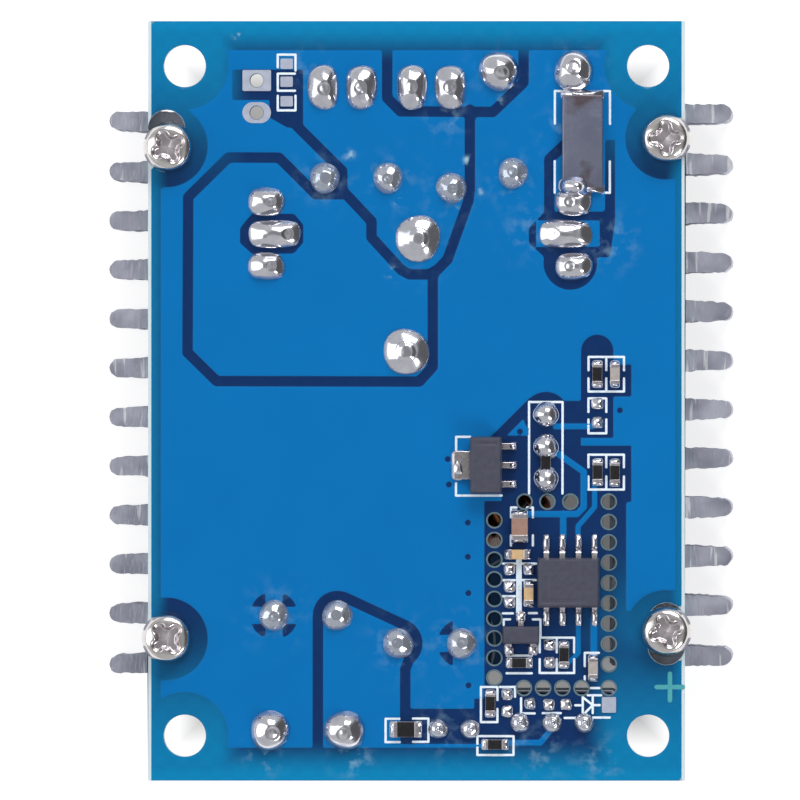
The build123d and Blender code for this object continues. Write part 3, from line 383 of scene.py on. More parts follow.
haze_patches = [
    (-12.1, -28.2, 1.2, 1.0), (-5.0, -28.3, 1.3, 1.0), (9.5, -27.6, 1.9, 0.7),
    (14.5, -28.4, 1.6, 0.7), (10.9, 21.3, 1.3, 0.5), (15.4, 12.6, 1.8, 0.7), (9.0, 13.4, 1.8, 0.5),
    (7.6, 17.6, 1.7, 0.5), (2.6, 16.4, 1.6, 0.5), (2.4, 22.4, 1.4, 0.6), (-7.4, 17.4, 1.7, 0.5),
    (-2.2, 17.4, 1.8, 0.5), (-11.3, -16.9, 1.9, 0.5), (3.6, -19.2, 2.0, 0.6),
    (-1.5, -19.3, 1.9, 0.5), (0.3, 12.0, 2.3, 0.2), (-8.6, 26.2, 1.5, 0.4), (6.2, 25.9, 2.0, 0.3),
    (12.6, 26.0, 2.0, 0.35), (2.0, -26.0, 2.0, 0.5), (-5.3, 19.4, 0.3, 4.0),
    (-1.4, 15.8, 0.25, 4.0), (-1.9, 10.1, 0.35, 4.0), (6.5, 23.6, 0.25, 4.0),
    (4.0, 19.0, 0.25, 4.0), (5.05, 16.6, 0.2, 4.0), (3.2, 14.9, 0.2, 4.0), (-14.07, 28.94, 0.3, 4.0)
]


def off_route(plan, route):
    """Distance of points to a run of straight lines: the least over its segments."""
    least = np.full(len(plan), np.inf)
    for start, end in zip(route, route[1:]):
        run = np.subtract(end, start)
        share = np.clip((plan - start) @ run / (run @ run), 0, 1)[:, None]
        least = np.minimum(least, np.linalg.norm(plan - start - share * run, axis=1))
    return least


def off_box(plan, low, high):
    """Signed distance to a rectangle: how far past its sides, or minus the nearest side inside."""
    middle = np.add(low, high) / 2
    past = np.abs(plan - middle) - np.subtract(high, low) / 2
    return np.linalg.norm(np.maximum(past, 0), axis=1) + np.minimum(past.max(1), 0)


def off_outline(plan, corners):
    """Signed distance to a polygon: minus where a line to the left crosses its rim an odd count."""
    rim_distance = off_route(plan, [*corners, corners[0]])
    inside = np.zeros(len(plan), bool)
    for (x0, y0), (x1, y1) in zip(corners, [*corners[1:], corners[0]]):
        if y0 != y1:
            level = (y0 > plan[:, 1]) != (y1 > plan[:, 1])
            crossing = x0 + (plan[:, 1] - y0) * (x1 - x0) / (y1 - y0)
            inside ^= level & (plan[:, 0] < crossing)
    return np.where(inside, -rim_distance, rim_distance)


def off_round(plan, x, y, radius=0.0):
    """Signed distance to a disc."""
    return np.hypot(plan[:, 0] - x, plan[:, 1] - y) - radius


def copper_cover(plan):
    """How far inside the copper a point lies, in mm: the pour, less what is bare, plus tracks."""
    bare = [-off_box(plan, *pour)]
    bare += [off_round(plan, x, y, corner_clearing) for x, y, radius in corner_holes]
    bare += [off_round(plan, x, y, screw_clearing) for x, y in screw_rings]
    bare += [off_route(plan, route) - trench_half for route in trenches]
    bare += [off_outline(plan, corners) for corners in bare_outlines]
    bare += [off_box(plan, box[:2], box[2:]) for box in bare_boxes]
    bare += [off_round(plan, *disc) for disc in bare_rounds]
    for x, y, both_sides in relief_wedges:
        ring = np.abs(off_round(plan, x, y, 1.45)) - 0.45
        spokes = 0.675 - np.abs(plan - (x, y)).min(1)
        one_side = -10 if both_sides else plan[:, 0] - x
        bare.append(np.maximum(np.maximum(ring, spokes), one_side))
    cover = np.min(bare, axis=0)
    cover = np.maximum(cover, -off_box(plan, (9.46, 12.16), (14.48, 14.25)))
    for route, width in tracks:
        cover = np.maximum(cover, width / 2 - off_route(plan, route))
    for x, y in covered_vias:
        cover = np.minimum(cover, off_round(plan, x, y, 0.24))
    return cover


def smooth(value, low, high):
    """Eases from 0 to 1 between two values: 3 t squared less 2 t cubed."""
    share = np.clip((value - low) / (high - low), 0, 1)
    return share * share * (3 - 2 * share)


def grid_faces(rows, columns, wrap_rows=False, wrap_columns=False):
    """Quads between neighbouring points of a grid; wrapped, the last line joins the first."""
    row = np.arange(rows if wrap_rows else rows - 1)[:, None]
    column = np.arange(columns if wrap_columns else columns - 1)[None, :]
    next_row = (row + 1) % rows
    next_column = (column + 1) % columns
    corners = [row * columns + column, row * columns + next_column]
    corners += [next_row * columns + next_column, next_row * columns + column]
    return np.stack(np.broadcast_arrays(*corners), -1).reshape(-1, 4)


def lacquer_sheet(lines_x, lines_y, holes):
    """Flat grid cut open at holes: points inside a hole move to its rim, full cells inside go."""
    plan = np.stack(np.meshgrid(lines_x, lines_y), -1).reshape(-1, 2)
    rim = (plan[:, 0] <= lines_x[0]) | (plan[:, 0] >= lines_x[-1])
    rim |= (plan[:, 1] <= lines_y[0]) | (plan[:, 1] >= lines_y[-1])
    cut = np.zeros(len(plan), bool)
    for x, y, half_x, half_y in holes:
        radius = min(half_x, half_y)
        reach = np.array([half_x - radius, half_y - radius])
        spine = np.clip(plan - (x, y), -reach, reach)
        off = plan - (x, y) - spine
        gap = np.linalg.norm(off, axis=1)
        hit = gap < radius
        plan[hit] = (x, y) + spine[hit] + off[hit] / (gap[hit] + 1e-9)[:, None] * radius
        cut |= hit
    faces = grid_faces(len(lines_y), len(lines_x))
    faces = faces[~cut[faces].all(1)]
    used, order = np.unique(faces, return_inverse=True)
    return plan[used], order.reshape(-1, 4), (rim | cut)[used]


def lacquer(plan, faces, rim, cover, outward):
    """Mask sheet: its level eases up over copper, and its rim is drawn down to the laminate."""
    level = mask_level + (copper_level - mask_level) * smooth(cover, -0.1, 0.1)
    level = np.where(rim, 0.0, level)
    if outward < 0:
        faces = faces[:, ::-1]
        level = -board_thickness - level * 0.6
    return np.column_stack([plan, level]), [faces]


def shade(made, **fields):
    """Keeps one number a point on a piece, under each field's name, for its material."""
    for name, values in fields.items():
        made.data.attributes.new(name, "FLOAT", "POINT").data.foreach_set("value", values)


lines_x = [np.linspace(-mask_edge_x, 1.5, 88)[:-1], np.linspace(1.5, 17.1, 112)[:-1]]
lines_x = np.concatenate([*lines_x, np.linspace(17.1, mask_edge_x, 16)])
lines_y = [np.linspace(-30, -28.2, 8)[:-1], np.linspace(-28.2, 4.2, 232)[:-1]]
lines_y = np.concatenate([*lines_y, np.linspace(4.2, 30, 100)])
mask_gap = 0.02
mask_slots = [(x, y, *np.add(sink_slot_half, mask_gap)) for x, y in sink_slots]
mask_holes = [(x, y, r + mask_gap, r + mask_gap) for x, y, r in round_holes] + mask_slots
plan, faces, rim_points = lacquer_sheet(lines_x, lines_y, mask_holes)
cover = copper_cover(plan)

# Painted light: light entering the laminate at its ends and corners would make the bare mask look
# teal, so a teal glow is painted there, along the sides and near one screw
to_end = 30 - np.abs(plan[:, 1])
at_end = 1 - smooth(to_end, 0.2, 3.4)
at_corner = smooth(np.abs(plan[:, 0]), 13.0, 15.8) * (0.85 - 0.85 * smooth(to_end, 1.5, 14.5))
at_side = 0.65 * (1 - smooth(21.2 - np.abs(plan[:, 0]), 0.3, 1.8))
at_screw = 0.45 * np.exp(-((off_round(plan, 18.2, -17.2) / 4) ** 2))
painted_glow_field = np.clip(np.max([at_end, at_corner, at_side, at_screw], axis=0), 0, 1)

# Dried flux lies as a thin haze round the joints
haze_field = np.zeros(len(plan))
for x, y, radius, strength in haze_patches:
    haze_field += strength * np.exp(-((off_round(plan, x, y) / radius) ** 2))

# Blue solder mask: a glossy cured lacquer. Copper under it makes it bright; over bare laminate
# it is navy, with the glass cloth just showing; flux leaves a pale, duller film
mask_copper = "0072B8"
mask_copper_deep = "006BAF"
mask_navy = "0B2F61"
painted_glow_teal = "0382B6"
flux_pale = "8FB6CE"
mask_blue, tree, shader, place = finish("blue_solder_mask")
cover_field = node(tree, "Attribute", attribute_name="cover").outputs["Fac"]
painted_glow_share = node(tree, "Attribute", attribute_name="glow").outputs["Fac"]
haze_share = node(tree, "Attribute", attribute_name="haze").outputs["Fac"]
cloud = node(tree, "TexNoise", {"Vector": place, "Scale": 160.0, "Detail": 5.0})
blotch = node(tree, "TexNoise", {"Vector": place, "Scale": 900.0, "Detail": 6.0})
grit = node(tree, "TexNoise", {"Vector": place, "Scale": 6000.0, "Detail": 2.0})
over_copper = node(
    tree, "Mix", {0: cloud, 6: linear(mask_copper_deep), 7: linear(mask_copper)}, data_type="RGBA"
)
# Painted light: the bare mask is navy, turning teal where the glow is painted
over_bare = node(
    tree, "Mix", {0: painted_glow_share, 6: linear(mask_navy), 7: linear(painted_glow_teal)}, data_type="RGBA"
)
weave = node(
    tree, "TexChecker",
    {"Vector": place, "Scale": 1 / 0.0009, "Color1": (1, 1, 1, 1), "Color2": (0.9, 0.92, 0.95, 1)}
)
over_cloth = node(
    tree, "Mix", {0: 0.5, 6: over_bare, 7: weave.outputs["Color"]}, data_type="RGBA",
    blend_type="MULTIPLY"
)
on_copper = node(tree, "MapRange", {"Value": cover_field, "From Min": -0.025, "From Max": 0.025})
lacquer_colour = node(tree, "Mix", {0: on_copper, 6: over_cloth, 7: over_copper}, data_type="RGBA")
film = node(tree, "MapRange", {"Value": blotch, "From Min": 0.5, "From Max": 0.72, "To Max": 0.62})
film_share = node(tree, "Math", {0: film, 1: haze_share}, operation="MULTIPLY", use_clamp=True)
dressed = node(
    tree, "Mix", {0: film_share, 6: lacquer_colour, 7: linear(flux_pale)}, data_type="RGBA"
)
gloss = node(tree, "MapRange", {"Value": film_share, "To Min": 0.24, "To Max": 0.5})
peel = node(tree, "Bump", {"Strength": 0.25, "Distance": 0.00002, "Height": blotch})
peel = node(tree, "Bump", {"Strength": 0.2, "Distance": 0.00001, "Height": grit, "Normal": peel})
fill(
    shader, {"Base Color": dressed, "Roughness": gloss, "Specular IOR Level": 0.22, "Normal": peel}
)

solder_side_mask = piece(
    "solder_side_mask", lacquer(plan, faces, rim_points, cover, 1), mask_blue,
    ["copper_islands"], shut=False, crease=60
)
shade(solder_side_mask, cover=cover, glow=painted_glow_field, haze=haze_field)

# Pads and hole linings
# Bare tinned pads of the empty fan header, of the supply choice and of one chip that isn't fitted,
# and the thin plated linings of the relief holes, dipped with the board and left to set.
pad_top = 0.125
fan_pad_half = (1.13, 0.83)
choice_pads = [(-10.25, 26.63), (-10.25, 25.21), (-10.25, 23.67)]
choice_pad_half = (0.49, 0.41)
spare_pad = (15.21, -24.01, 0.56, 0.62)
lining_wall = 0.07
tin_colour = "C6CEE0"
lining_colour = "7C929C"


def turned(x, y, profile, sides=32, closed=False):
    """Turned shape about a standing axis: each profile point of radius and height makes a ring."""
    radius, height = np.array(profile, float).T
    angle = np.arange(sides) * 2 * np.pi / sides
    across = np.stack(
        [x + np.outer(radius, np.cos(angle)), y + np.outer(radius, np.sin(angle))], -1
    )
    points = np.concatenate([across, np.repeat(height[:, None, None], sides, 1)], -1)
    return points.reshape(-1, 3), [grid_faces(len(radius), sides, closed, True)]


def softened(made, width, segments=2, angle=40):
    """Rounds edges sharper than an angle in degrees by a width in millimetres."""
    bevel = made.modifiers.new("softened_edges", "BEVEL")
    bevel.width = width / 1000
    bevel.segments = segments
    bevel.limit_method = "ANGLE"
    bevel.angle_limit = radians(angle)


tinned_pad, tree, shader, place = finish("tinned_pad")
swirl = node(tree, "TexNoise", {"Vector": place, "Scale": 1800.0, "Detail": 4.0})
tin_tint = node(
    tree, "Mix", {0: swirl, 6: linear("AEB5C8"), 7: linear(tin_colour)}, data_type="RGBA"
)
dull = node(tree, "MapRange", {"Value": swirl, "To Min": 0.45, "To Max": 0.62})
swell = node(tree, "Bump", {"Strength": 0.5, "Distance": 0.00002, "Height": swirl})
fill(shader, {"Base Color": tin_tint, "Metallic": 0.6, "Roughness": dull, "Normal": swell})

(fan_x, fan_y, fan_radius), (oval_x, oval_y, oval_radius) = fan_holes
pad_shapes = [
    plate(
        [
            loop(fan_x, fan_y, *fan_pad_half, radius=0.12),
            loop(fan_x, fan_y, fan_radius, fan_radius)
        ],
        0.0, pad_top
    ),
    plate(
        [loop(oval_x, oval_y, *fan_pad_half), loop(oval_x, oval_y, oval_radius, oval_radius)], 0.0,
        pad_top
    ),
    plate([loop(*spare_pad, radius=0.1)], 0.0, pad_top)
]
pad_shapes += [
    plate([loop(x, y, *choice_pad_half, radius=0.1)], 0.0, pad_top) for x, y in choice_pads
]
pads = piece("tinned_pads", joined(pad_shapes), tinned_pad, ["bare_pads"])
softened(pads, 0.02, 1, 30)

plated_lining, tree, shader, place = finish("plated_hole_lining")
speck = node(tree, "TexNoise", {"Vector": place, "Scale": 4000.0, "Detail": 3.0})
lining_tint = node(
    tree, "Mix", {0: speck, 6: linear("51707E"), 7: linear(lining_colour)}, data_type="RGBA"
)
lining_bump = node(tree, "Bump", {"Strength": 0.4, "Distance": 0.00001, "Height": speck})
fill(shader, {"Base Color": lining_tint, "Metallic": 0.5, "Roughness": 0.5, "Normal": lining_bump})


def lining(x, y, radius, top=0.07):
    """Flanged tube through the board, open from face to face."""
    inner = radius - lining_wall / 2
    outer = radius + lining_wall / 2
    flange = radius + 0.1
    foot = -board_thickness - 0.03
    return turned(
        x, y,
        [
            (inner, foot), (inner, top - 0.02), (inner + 0.02, top), (flange, top), (flange, 0.005),
            (outer, 0.0), (outer, -board_thickness), (flange, -board_thickness), (flange, foot)
        ],
        24, True
    )


piece(
    "hole_linings", joined([lining(x, y, radius) for x, y, radius in relief_holes + fan_holes]),
    plated_lining
)

# Silkscreen
# White epoxy ink, printed on the cured mask: frames round the chips, brackets and dashes. The
# ink follows the mask up and down and covers a little unevenly.
ink_width = 0.18
ink_thickness = 0.022
ink_colour = "E6F3FF"
frames = [
    (13.6, 0.74, 16.4, 3.47, (1.78, 2.42), (13.6, 15.0, 16.4)),
    (13.59, -2.56, 15.0, 0.2, (-1.47, -0.87), (13.59, 15.0)),
    (13.59, -7.0, 16.39, -4.25, (-5.97, -5.24), (13.59, 15.0, 16.39)),
    (9.74, -21.49, 12.46, -18.7, (-20.4, -19.86), (9.74, 11.09, 12.46))
]
ink_lines = [
    (4.25, -2.84, 3.14, -2.84), (3.14, -2.84, 3.14, -3.89), (3.13, -6.51, 3.13, -7.47),
    (3.13, -7.48, 6.73, -7.48), (8.9, -0.09, 11.55, -0.09), (8.9, -0.09, 8.9, -7.32),
    (11.55, -0.09, 11.54, -7.31), (6.84, -12.85, 7.79, -12.85), (8.34, -12.85, 9.45, -12.85),
    (6.84, -14.16, 7.78, -14.16), (8.34, -14.15, 9.44, -14.15), (6.83, -15.43, 7.78, -15.43),
    (6.83, -16.78, 7.62, -16.78), (8.89, -16.76, 9.52, -16.76), (7.48, -8.42, 7.48, -9.21),
    (9.2, -8.42, 9.2, -9.2), (7.48, -8.42, 7.9, -8.42), (8.75, -8.42, 9.2, -8.42),
    (7.47, -10.63, 7.47, -11.42), (9.2, -10.62, 9.2, -11.42), (9.8, -17.26, 9.8, -18.68),
    (9.2, -17.26, 9.8, -17.26), (6.9, -17.26, 7.4, -17.26), (6.9, -17.26, 6.9, -17.7),
    (7.14, -20.12, 9.12, -20.12), (7.13, -21.51, 9.11, -21.51), (13.3, -19.9, 13.3, -20.95),
    (13.3, -19.9, 14.41, -19.9), (13.3, -21.75, 13.3, -22.05), (5.1, -22.6, 6.4, -22.6),
    (5.1, -25.37, 6.39, -25.37), (5.1, -22.6, 5.1, -25.37), (6.4, -22.6, 6.4, -23.62),
    (6.4, -24.33, 6.4, -25.37), (7.79, -22.58, 7.79, -23.37), (6.6, -22.6, 7.79, -22.6),
    (13.74, -22.68, 14.45, -22.68), (13.54, -23.25, 14.6, -23.25), (12.55, -24.04, 13.14, -24.04),
    (13.14, -23.4, 13.14, -24.82), (13.14, -23.4, 13.93, -24.03), (13.14, -24.82, 13.93, -24.03),
    (13.93, -23.39, 13.93, -24.66), (13.93, -24.03, 14.48, -24.03), (11.71, -25.04, 12.66, -25.04),
    (13.93, -25.01, 15.27, -25.01), (8.27, -23.48, 8.27, -24.68), (8.27, -24.68, 9.34, -24.68),
    (9.98, -24.66, 11.4, -24.66), (-2.43, -25.11, -1.3, -25.11), (-0.26, -25.09, 0.95, -25.09),
    (-2.43, -26.95, -1.3, -26.95), (-0.27, -26.93, 0.94, -26.93), (-2.43, -25.11, -2.43, -26.95),
    (0.95, -25.09, 0.95, -26.93), (4.82, -26.48, 7.68, -26.48), (4.81, -27.97, 7.67, -27.97),
    (4.82, -26.48, 4.82, -27.97), (7.68, -26.48, 7.67, -27.97), (10.94, 24.47, 15.29, 24.47),
    (10.94, 24.47, 10.94, 21.9), (15.29, 24.44, 15.29, 21.87), (10.93, 18.93, 10.93, 16.45),
    (15.28, 18.91, 15.28, 16.43), (13.55, 16.44, 15.28, 16.44), (-10.95, 27.35, -9.55, 27.35),
    (-10.95, 27.35, -10.95, 26.35), (-9.55, 27.35, -9.55, 26.1), (-10.95, 25.85, -9.6, 25.85),
    (-10.95, 25.85, -10.95, 24.55), (-10.95, 24.5, -9.6, 24.5), (-10.95, 24.1, -10.95, 22.98),
    (-10.95, 22.95, -9.55, 22.95), (-9.55, 24.1, -9.55, 22.98)
]
for x0, y0, x1, y1, (gap_low, gap_high), posts in frames:
    ink_lines += [(x0, y0, x1, y0), (x0, y1, x1, y1)]
    for x in posts:
        ink_lines += [(x, y0, x, gap_low), (x, gap_high, x, y1)]
ink_bars = [(8.1, -12.5, 8.1, -16.8, 0.45)]
plus_mark = [(18.98, -22.6, 21.05, -22.6, 0.36), (20.03, -21.55, 20.03, -23.65, 0.36)]


def mask_height(plan):
    """Height of the mask's surface at plan points, as the lacquer sheet has it."""
    return mask_level + (copper_level - mask_level) * smooth(copper_cover(plan), -0.1, 0.1)


def ink_stroke(x0, y0, x1, y1, width=ink_width):
    """Bar of ink from end to end with round ends, laid on the mask in steps of a quarter mm."""
    run = np.array([x1 - x0, y1 - y0])
    length = np.hypot(*run)
    along = run / length
    across = np.array([-along[1], along[0]])
    half = width / 2
    ends = half * np.cos(np.radians([90, 60, 30, 0]))
    spread = half * np.sin(np.radians([12, 30, 60, 90]))
    steps = max(int(length / 0.25), 1) + 1
    place = np.concatenate([-ends[::-1], np.linspace(0, length, steps), length + ends])
    side = np.concatenate([spread, np.full(steps, half), spread[::-1]])
    middle = np.array([x0, y0]) + place[:, None] * along
    edges = [middle - side[:, None] * across, middle + side[:, None] * across]
    floor = mask_height(middle)
    rows = [
        np.column_stack([edges[0], floor - 0.01]),
        np.column_stack([edges[0], floor + ink_thickness * 0.7]),
        np.column_stack([middle, floor + ink_thickness]),
        np.column_stack([edges[1], floor + ink_thickness * 0.7]),
        np.column_stack([edges[1], floor - 0.01])
    ]
    points = np.stack(rows, 1)
    count = len(place)
    caps = np.array([[0, 1, 2, 3, 4], [5 * (count - 1) + k for k in (4, 3, 2, 1, 0)]])
    return points.reshape(-1, 3), [grid_faces(count, 5, False, True), caps]


white_ink, tree, shader, place = finish("white_epoxy_ink")
cover_grain = node(tree, "TexNoise", {"Vector": place, "Scale": 3500.0, "Detail": 4.0})
thin_share = node(
    tree, "MapRange", {"Value": cover_grain, "From Min": 0.55, "From Max": 0.8, "To Max": 0.5}
)
ink_tint = node(
    tree, "Mix", {0: thin_share, 6: linear(ink_colour), 7: linear("7FB2D6")}, data_type="RGBA"
)
ink_bump = node(tree, "Bump", {"Strength": 0.4, "Distance": 0.00001, "Height": cover_grain})
fill(shader, {"Base Color": ink_tint, "Roughness": 0.6, "Normal": ink_bump})
piece(
    "silkscreen_lines", joined([ink_stroke(*line) for line in ink_lines + ink_bars]), white_ink,
)

# The plus sign at the output corner is a mask opening's outline seen through the lacquer: pale
# green rather than white
under_lacquer, tree, shader, place = finish("print_under_lacquer")
cover_grain = node(tree, "TexNoise", {"Vector": place, "Scale": 2500.0, "Detail": 3.0})
ink_tint = node(
    tree, "Mix", {0: cover_grain, 6: linear("3C97A8"), 7: linear("58AEB0")}, data_type="RGBA"
)
fill(shader, {"Base Color": ink_tint, "Roughness": 0.3})
piece(
    "plus_mark", joined([ink_stroke(*bar) for bar in plus_mark]), under_lacquer
)

# Heatsinks
# Aluminium extrusions with twelve fins, sawn to length, deburred and left bare. The sawn ends
# show the saw's fine parallel lines; the fin tips are rounded by the die.
sink_levels = (-22.1, -1.6)
sink_shift = 0.3
fin_half = 0.71
fin_steps = [1.94, 5.82, 9.7, 13.58, 17.46, 21.48]
fin_steps = [-step for step in fin_steps[::-1]] + fin_steps
aluminium_colour = "D4D6E0"
die_line_pitch = 0.3
die_line_depth = 0.06
sink_random = np.random.default_rng(11)


def sink_outline(side, centre_y):
    """Plan of one extrusion: base, then each fin out along a straight flank and round its tip."""
    inner, root, tip = 14.95, 17.95, 24.6
    top = fin_steps[-1] + fin_half
    turn = np.radians(np.linspace(-80, 80, 9))
    root_turn = np.radians([0, 30, 60, 90])
    fillet = 0.3
    corners = [(inner, -top + 0.25), (inner + 0.25, -top)]
    for index, step in enumerate(fin_steps):
        if index:
            corners += [
                (root + fillet - fillet * sin(a), step - fin_half - fillet + fillet * (1 - cos(a)))
                for a in root_turn[::-1]
            ]
        corners += [(tip - fin_half + fin_half * cos(a), step + fin_half * sin(a)) for a in turn]
        if index < len(fin_steps) - 1:
            corners += [
                (root + fillet - fillet * sin(a), step + fin_half + fillet - fillet * (1 - cos(a)))
                for a in root_turn
            ]
    corners += [(inner + 0.25, top), (inner, top - 0.25)]
    plan = np.array(corners) * (side, 1) + (sink_shift, centre_y)
    start, span = plan, np.roll(plan, -1, axis=0) - plan
    count = np.maximum(1, np.round(np.linalg.norm(span, axis=1) / die_line_pitch)).astype(int)
    share = np.concatenate([np.arange(n) / n for n in count])[:, None]
    plan = np.repeat(start, count, axis=0) + np.repeat(span, count, axis=0) * share
    beyond = np.abs(plan[:, 0] - sink_shift) > root + 0.4
    plan[:, 1] += beyond * sink_random.uniform(-die_line_depth, die_line_depth, len(plan))
    return plan if side > 0 else plan[::-1]


bare_aluminium, tree, shader, place = finish("sawn_extruded_aluminium")
# Saw lines lie slantwise across the ends, a quarter of a millimetre apart and finer
saw = node(
    tree, "Mapping", {"Vector": place, "Scale": (4200.0, 1300.0, 400.0), "Rotation": (0, 0, 0.4)}
)
saw_lines = node(tree, "TexNoise", {"Vector": saw, "Scale": 1.0, "Detail": 3.0})
scuffs = node(tree, "TexNoise", {"Vector": place, "Scale": 420.0, "Detail": 7.0})
# Here and there a scratch runs slantwise, painted brighter than the rest: a real scratch with a
# painted glint
slant = node(
    tree, "Mapping", {"Vector": place, "Scale": (2600.0, 240.0, 300.0), "Rotation": (0, 0, -0.5)}
)
glint_scratch = node(tree, "TexNoise", {"Vector": slant, "Scale": 1.0, "Detail": 2.0})
glint_scratch = node(
    tree, "MapRange", {"Value": glint_scratch, "From Min": 0.62, "From Max": 0.68, "To Max": 0.7}
)
alloy_tint = node(
    tree, "Mix", {0: scuffs, 6: linear("80849A"), 7: linear(aluminium_colour)}, data_type="RGBA"
)
glint_scratched = node(tree, "Mix", {0: glint_scratch, 6: alloy_tint, 7: linear("F2F3F8")}, data_type="RGBA")
alloy_gloss = node(
    tree, "MapRange",
    {"Value": scuffs, "From Min": 0.3, "From Max": 0.7, "To Min": 0.42, "To Max": 0.6}
)
saw_bump = node(tree, "Bump", {"Strength": 0.9, "Distance": 0.00006, "Height": saw_lines})
saw_bump = node(
    tree, "Bump", {"Strength": 0.6, "Distance": 0.00008, "Height": scuffs, "Normal": saw_bump}
)
fill(
    shader, {"Base Color": glint_scratched, "Metallic": 1.0, "Roughness": alloy_gloss, "Normal": saw_bump}
)

for name, side, centre_y in (("left", -1, 0.67), ("right", 1, 1.27)):
    sink = piece(
        f"{name}_extrusion", plate([sink_outline(side, centre_y)], *sink_levels), bare_aluminium,
        [f"{name}_heatsink"]
    )
    softened(sink, 0.08, angle=50)

# Heatsink screws
# Nickel-plated pan heads, 4 mm across, with a cross recess struck into them; each is turned
# its own way and holds a heatsink through its hole or slot.
screw_turns = [(-19.58, 20.06, 28), (19.72, 20.74, 3), (-19.7, -18.74, 40), (19.75, -18.2, 20)]
head_radius = 2.0
head_height = 1.7
recess_reach = 1.46
recess_half = 0.52
recess_depth = 0.62
corner_reach, corner_radius = 0.9, 0.38


def cross_recess(across, turn):
    """How far points lie inside a cross with four round-ended arms, and how far out along one."""
    c, s = cos(radians(turn)), sin(radians(turn))
    arms = np.abs(across @ np.array([[c, -s], [s, c]]))
    long_way, short_way = arms.max(-1), arms.min(-1)
    past = np.maximum(long_way - (recess_reach - recess_half), 0)
    inside = recess_half - np.hypot(past, short_way)
    round_corner = np.hypot(long_way - corner_reach, short_way - corner_reach) - corner_radius
    corner = np.minimum(round_corner, corner_reach - long_way)
    inside = np.where(long_way < corner_reach, np.maximum(inside, corner), inside)
    return inside, long_way


def pan_head(x, y, turn, size=head_radius, rise=head_height, shank=1.15, reach=7.6):
    """Pan head: a low dome with a round shoulder, lowered where it lies inside the cross."""
    scale = size / head_radius
    share = np.concatenate([np.linspace(0, 0.8, 40), np.linspace(0.8, 1, 14)[1:]])
    angle = np.arange(96) * 2 * np.pi / 96
    radius = np.outer(share * size, np.ones(96))
    across = np.stack([radius * np.cos(angle), radius * np.sin(angle)], -1)
    crown = rise * (1 - 0.26 * share**2) * (1 - 0.75 * share**14)
    inside, long_way = cross_recess(across / scale, turn)
    drop = recess_depth * smooth(inside, -0.06, 0.3) * (1 - 0.72 * long_way / recess_reach)
    height = crown[:, None] - drop
    top = np.concatenate([across + (x, y), height[..., None]], -1)
    rings = [(size * 0.995, 0.12), (size * 0.96, 0.0), (shank, 0.0), (shank, 0.2 - reach)]
    rings += [(shank * 0.6, -reach), (0.0, -reach)]
    below = [
        np.column_stack([x + r * np.cos(angle), y + r * np.sin(angle), np.full(96, z)])
        for r, z in rings
    ]
    points = np.concatenate([top, np.array(below)])
    return points.reshape(-1, 3), [grid_faces(len(points), 96, False, True)]


nickel_plate, tree, shader, place = finish("nickel_plated_steel")
smear = node(tree, "TexNoise", {"Vector": place, "Scale": 1500.0, "Detail": 6.0})
nickel_tint = node(
    tree, "Mix", {0: smear, 6: linear("C4BEBC"), 7: linear("E0DEDE")}, data_type="RGBA"
)
nickel_gloss = node(
    tree, "MapRange",
    {"Value": smear, "From Min": 0.35, "From Max": 0.7, "To Min": 0.1, "To Max": 0.24}
)
struck = node(tree, "Bump", {"Strength": 0.35, "Distance": 0.00003, "Height": smear})
# Painted shade: the recess is painted darker than the rolled head round it, and it is also duller
recess_shade_share = node(tree, "Attribute", attribute_name="recess").outputs["Fac"]
recess_shade_tint = node(
    tree, "Mix", {0: recess_shade_share, 6: nickel_tint, 7: linear("CBC4C8")}, data_type="RGBA"
)
struck_gloss = node(tree, "Math", {0: recess_shade_share, 1: 0.12}, operation="MULTIPLY")
struck_gloss = node(tree, "Math", {0: struck_gloss, 1: nickel_gloss})
fill(
    shader,
    {"Metallic": 1.0, "Normal": struck, "Base Color": recess_shade_tint, "Roughness": struck_gloss}
)
heads = [pan_head(*place) for place in screw_turns]
recess_shade_field = [
    smooth(cross_recess(points[:, :2] - (x, y), turn)[0], -0.05, 0.12) * (points[:, 2] > 0.3)
    for (points, faces), (x, y, turn) in zip(heads, screw_turns)
]
pan_head_screws = piece(
    "pan_head_screws", joined(heads), nickel_plate, ["heatsink_screws"], shut=False,
    crease=50
)
shade(pan_head_screws, recess=np.concatenate(recess_shade_field))

# Solder joints
# Tin-lead solder that has drawn up over each pad and lead end, bright and smooth, each with its
# own slumps and facets. Round pins leave a ring or a dimple near the middle of the dome.
joint_floor = 0.1
terminal_joints = [(6.51, 26.03), (12.43, 26.03), (-11.57, -26.03), (-5.65, -26.03)]
capacitor_joints = [
    (-7.24, 17.6), (-2.24, 17.6), (2.77, 16.82), (7.63, 17.98), (-11.25, -16.95), (-6.25, -16.95),
    (-1.44, -19.16), (3.56, -19.16)
]
inductor_joints = [(0.14, 12.83), (-0.8, 3.88)]
clip_joints = [(x, 24.77) for x in (-7.355, -4.335, -0.325, 2.695)]
select_joints = [(10.25, -1.08), (10.25, -3.62), (10.25, -6.16)]
small_joints = [(1.72, -25.92), (4.26, -25.92), (8.18, -25.42), (10.72, -25.42), (13.26, -25.42)]
device_columns = (-11.85, 12.45)
device_rows = (15.72, 13.18, 10.64)
device_joints = [(x, y) for x in device_columns for y in device_rows[::2]]
middle_joints = [(-11.2, device_rows[1]), (11.8, device_rows[1])]
no_lead = (0, 0, 0, 0)
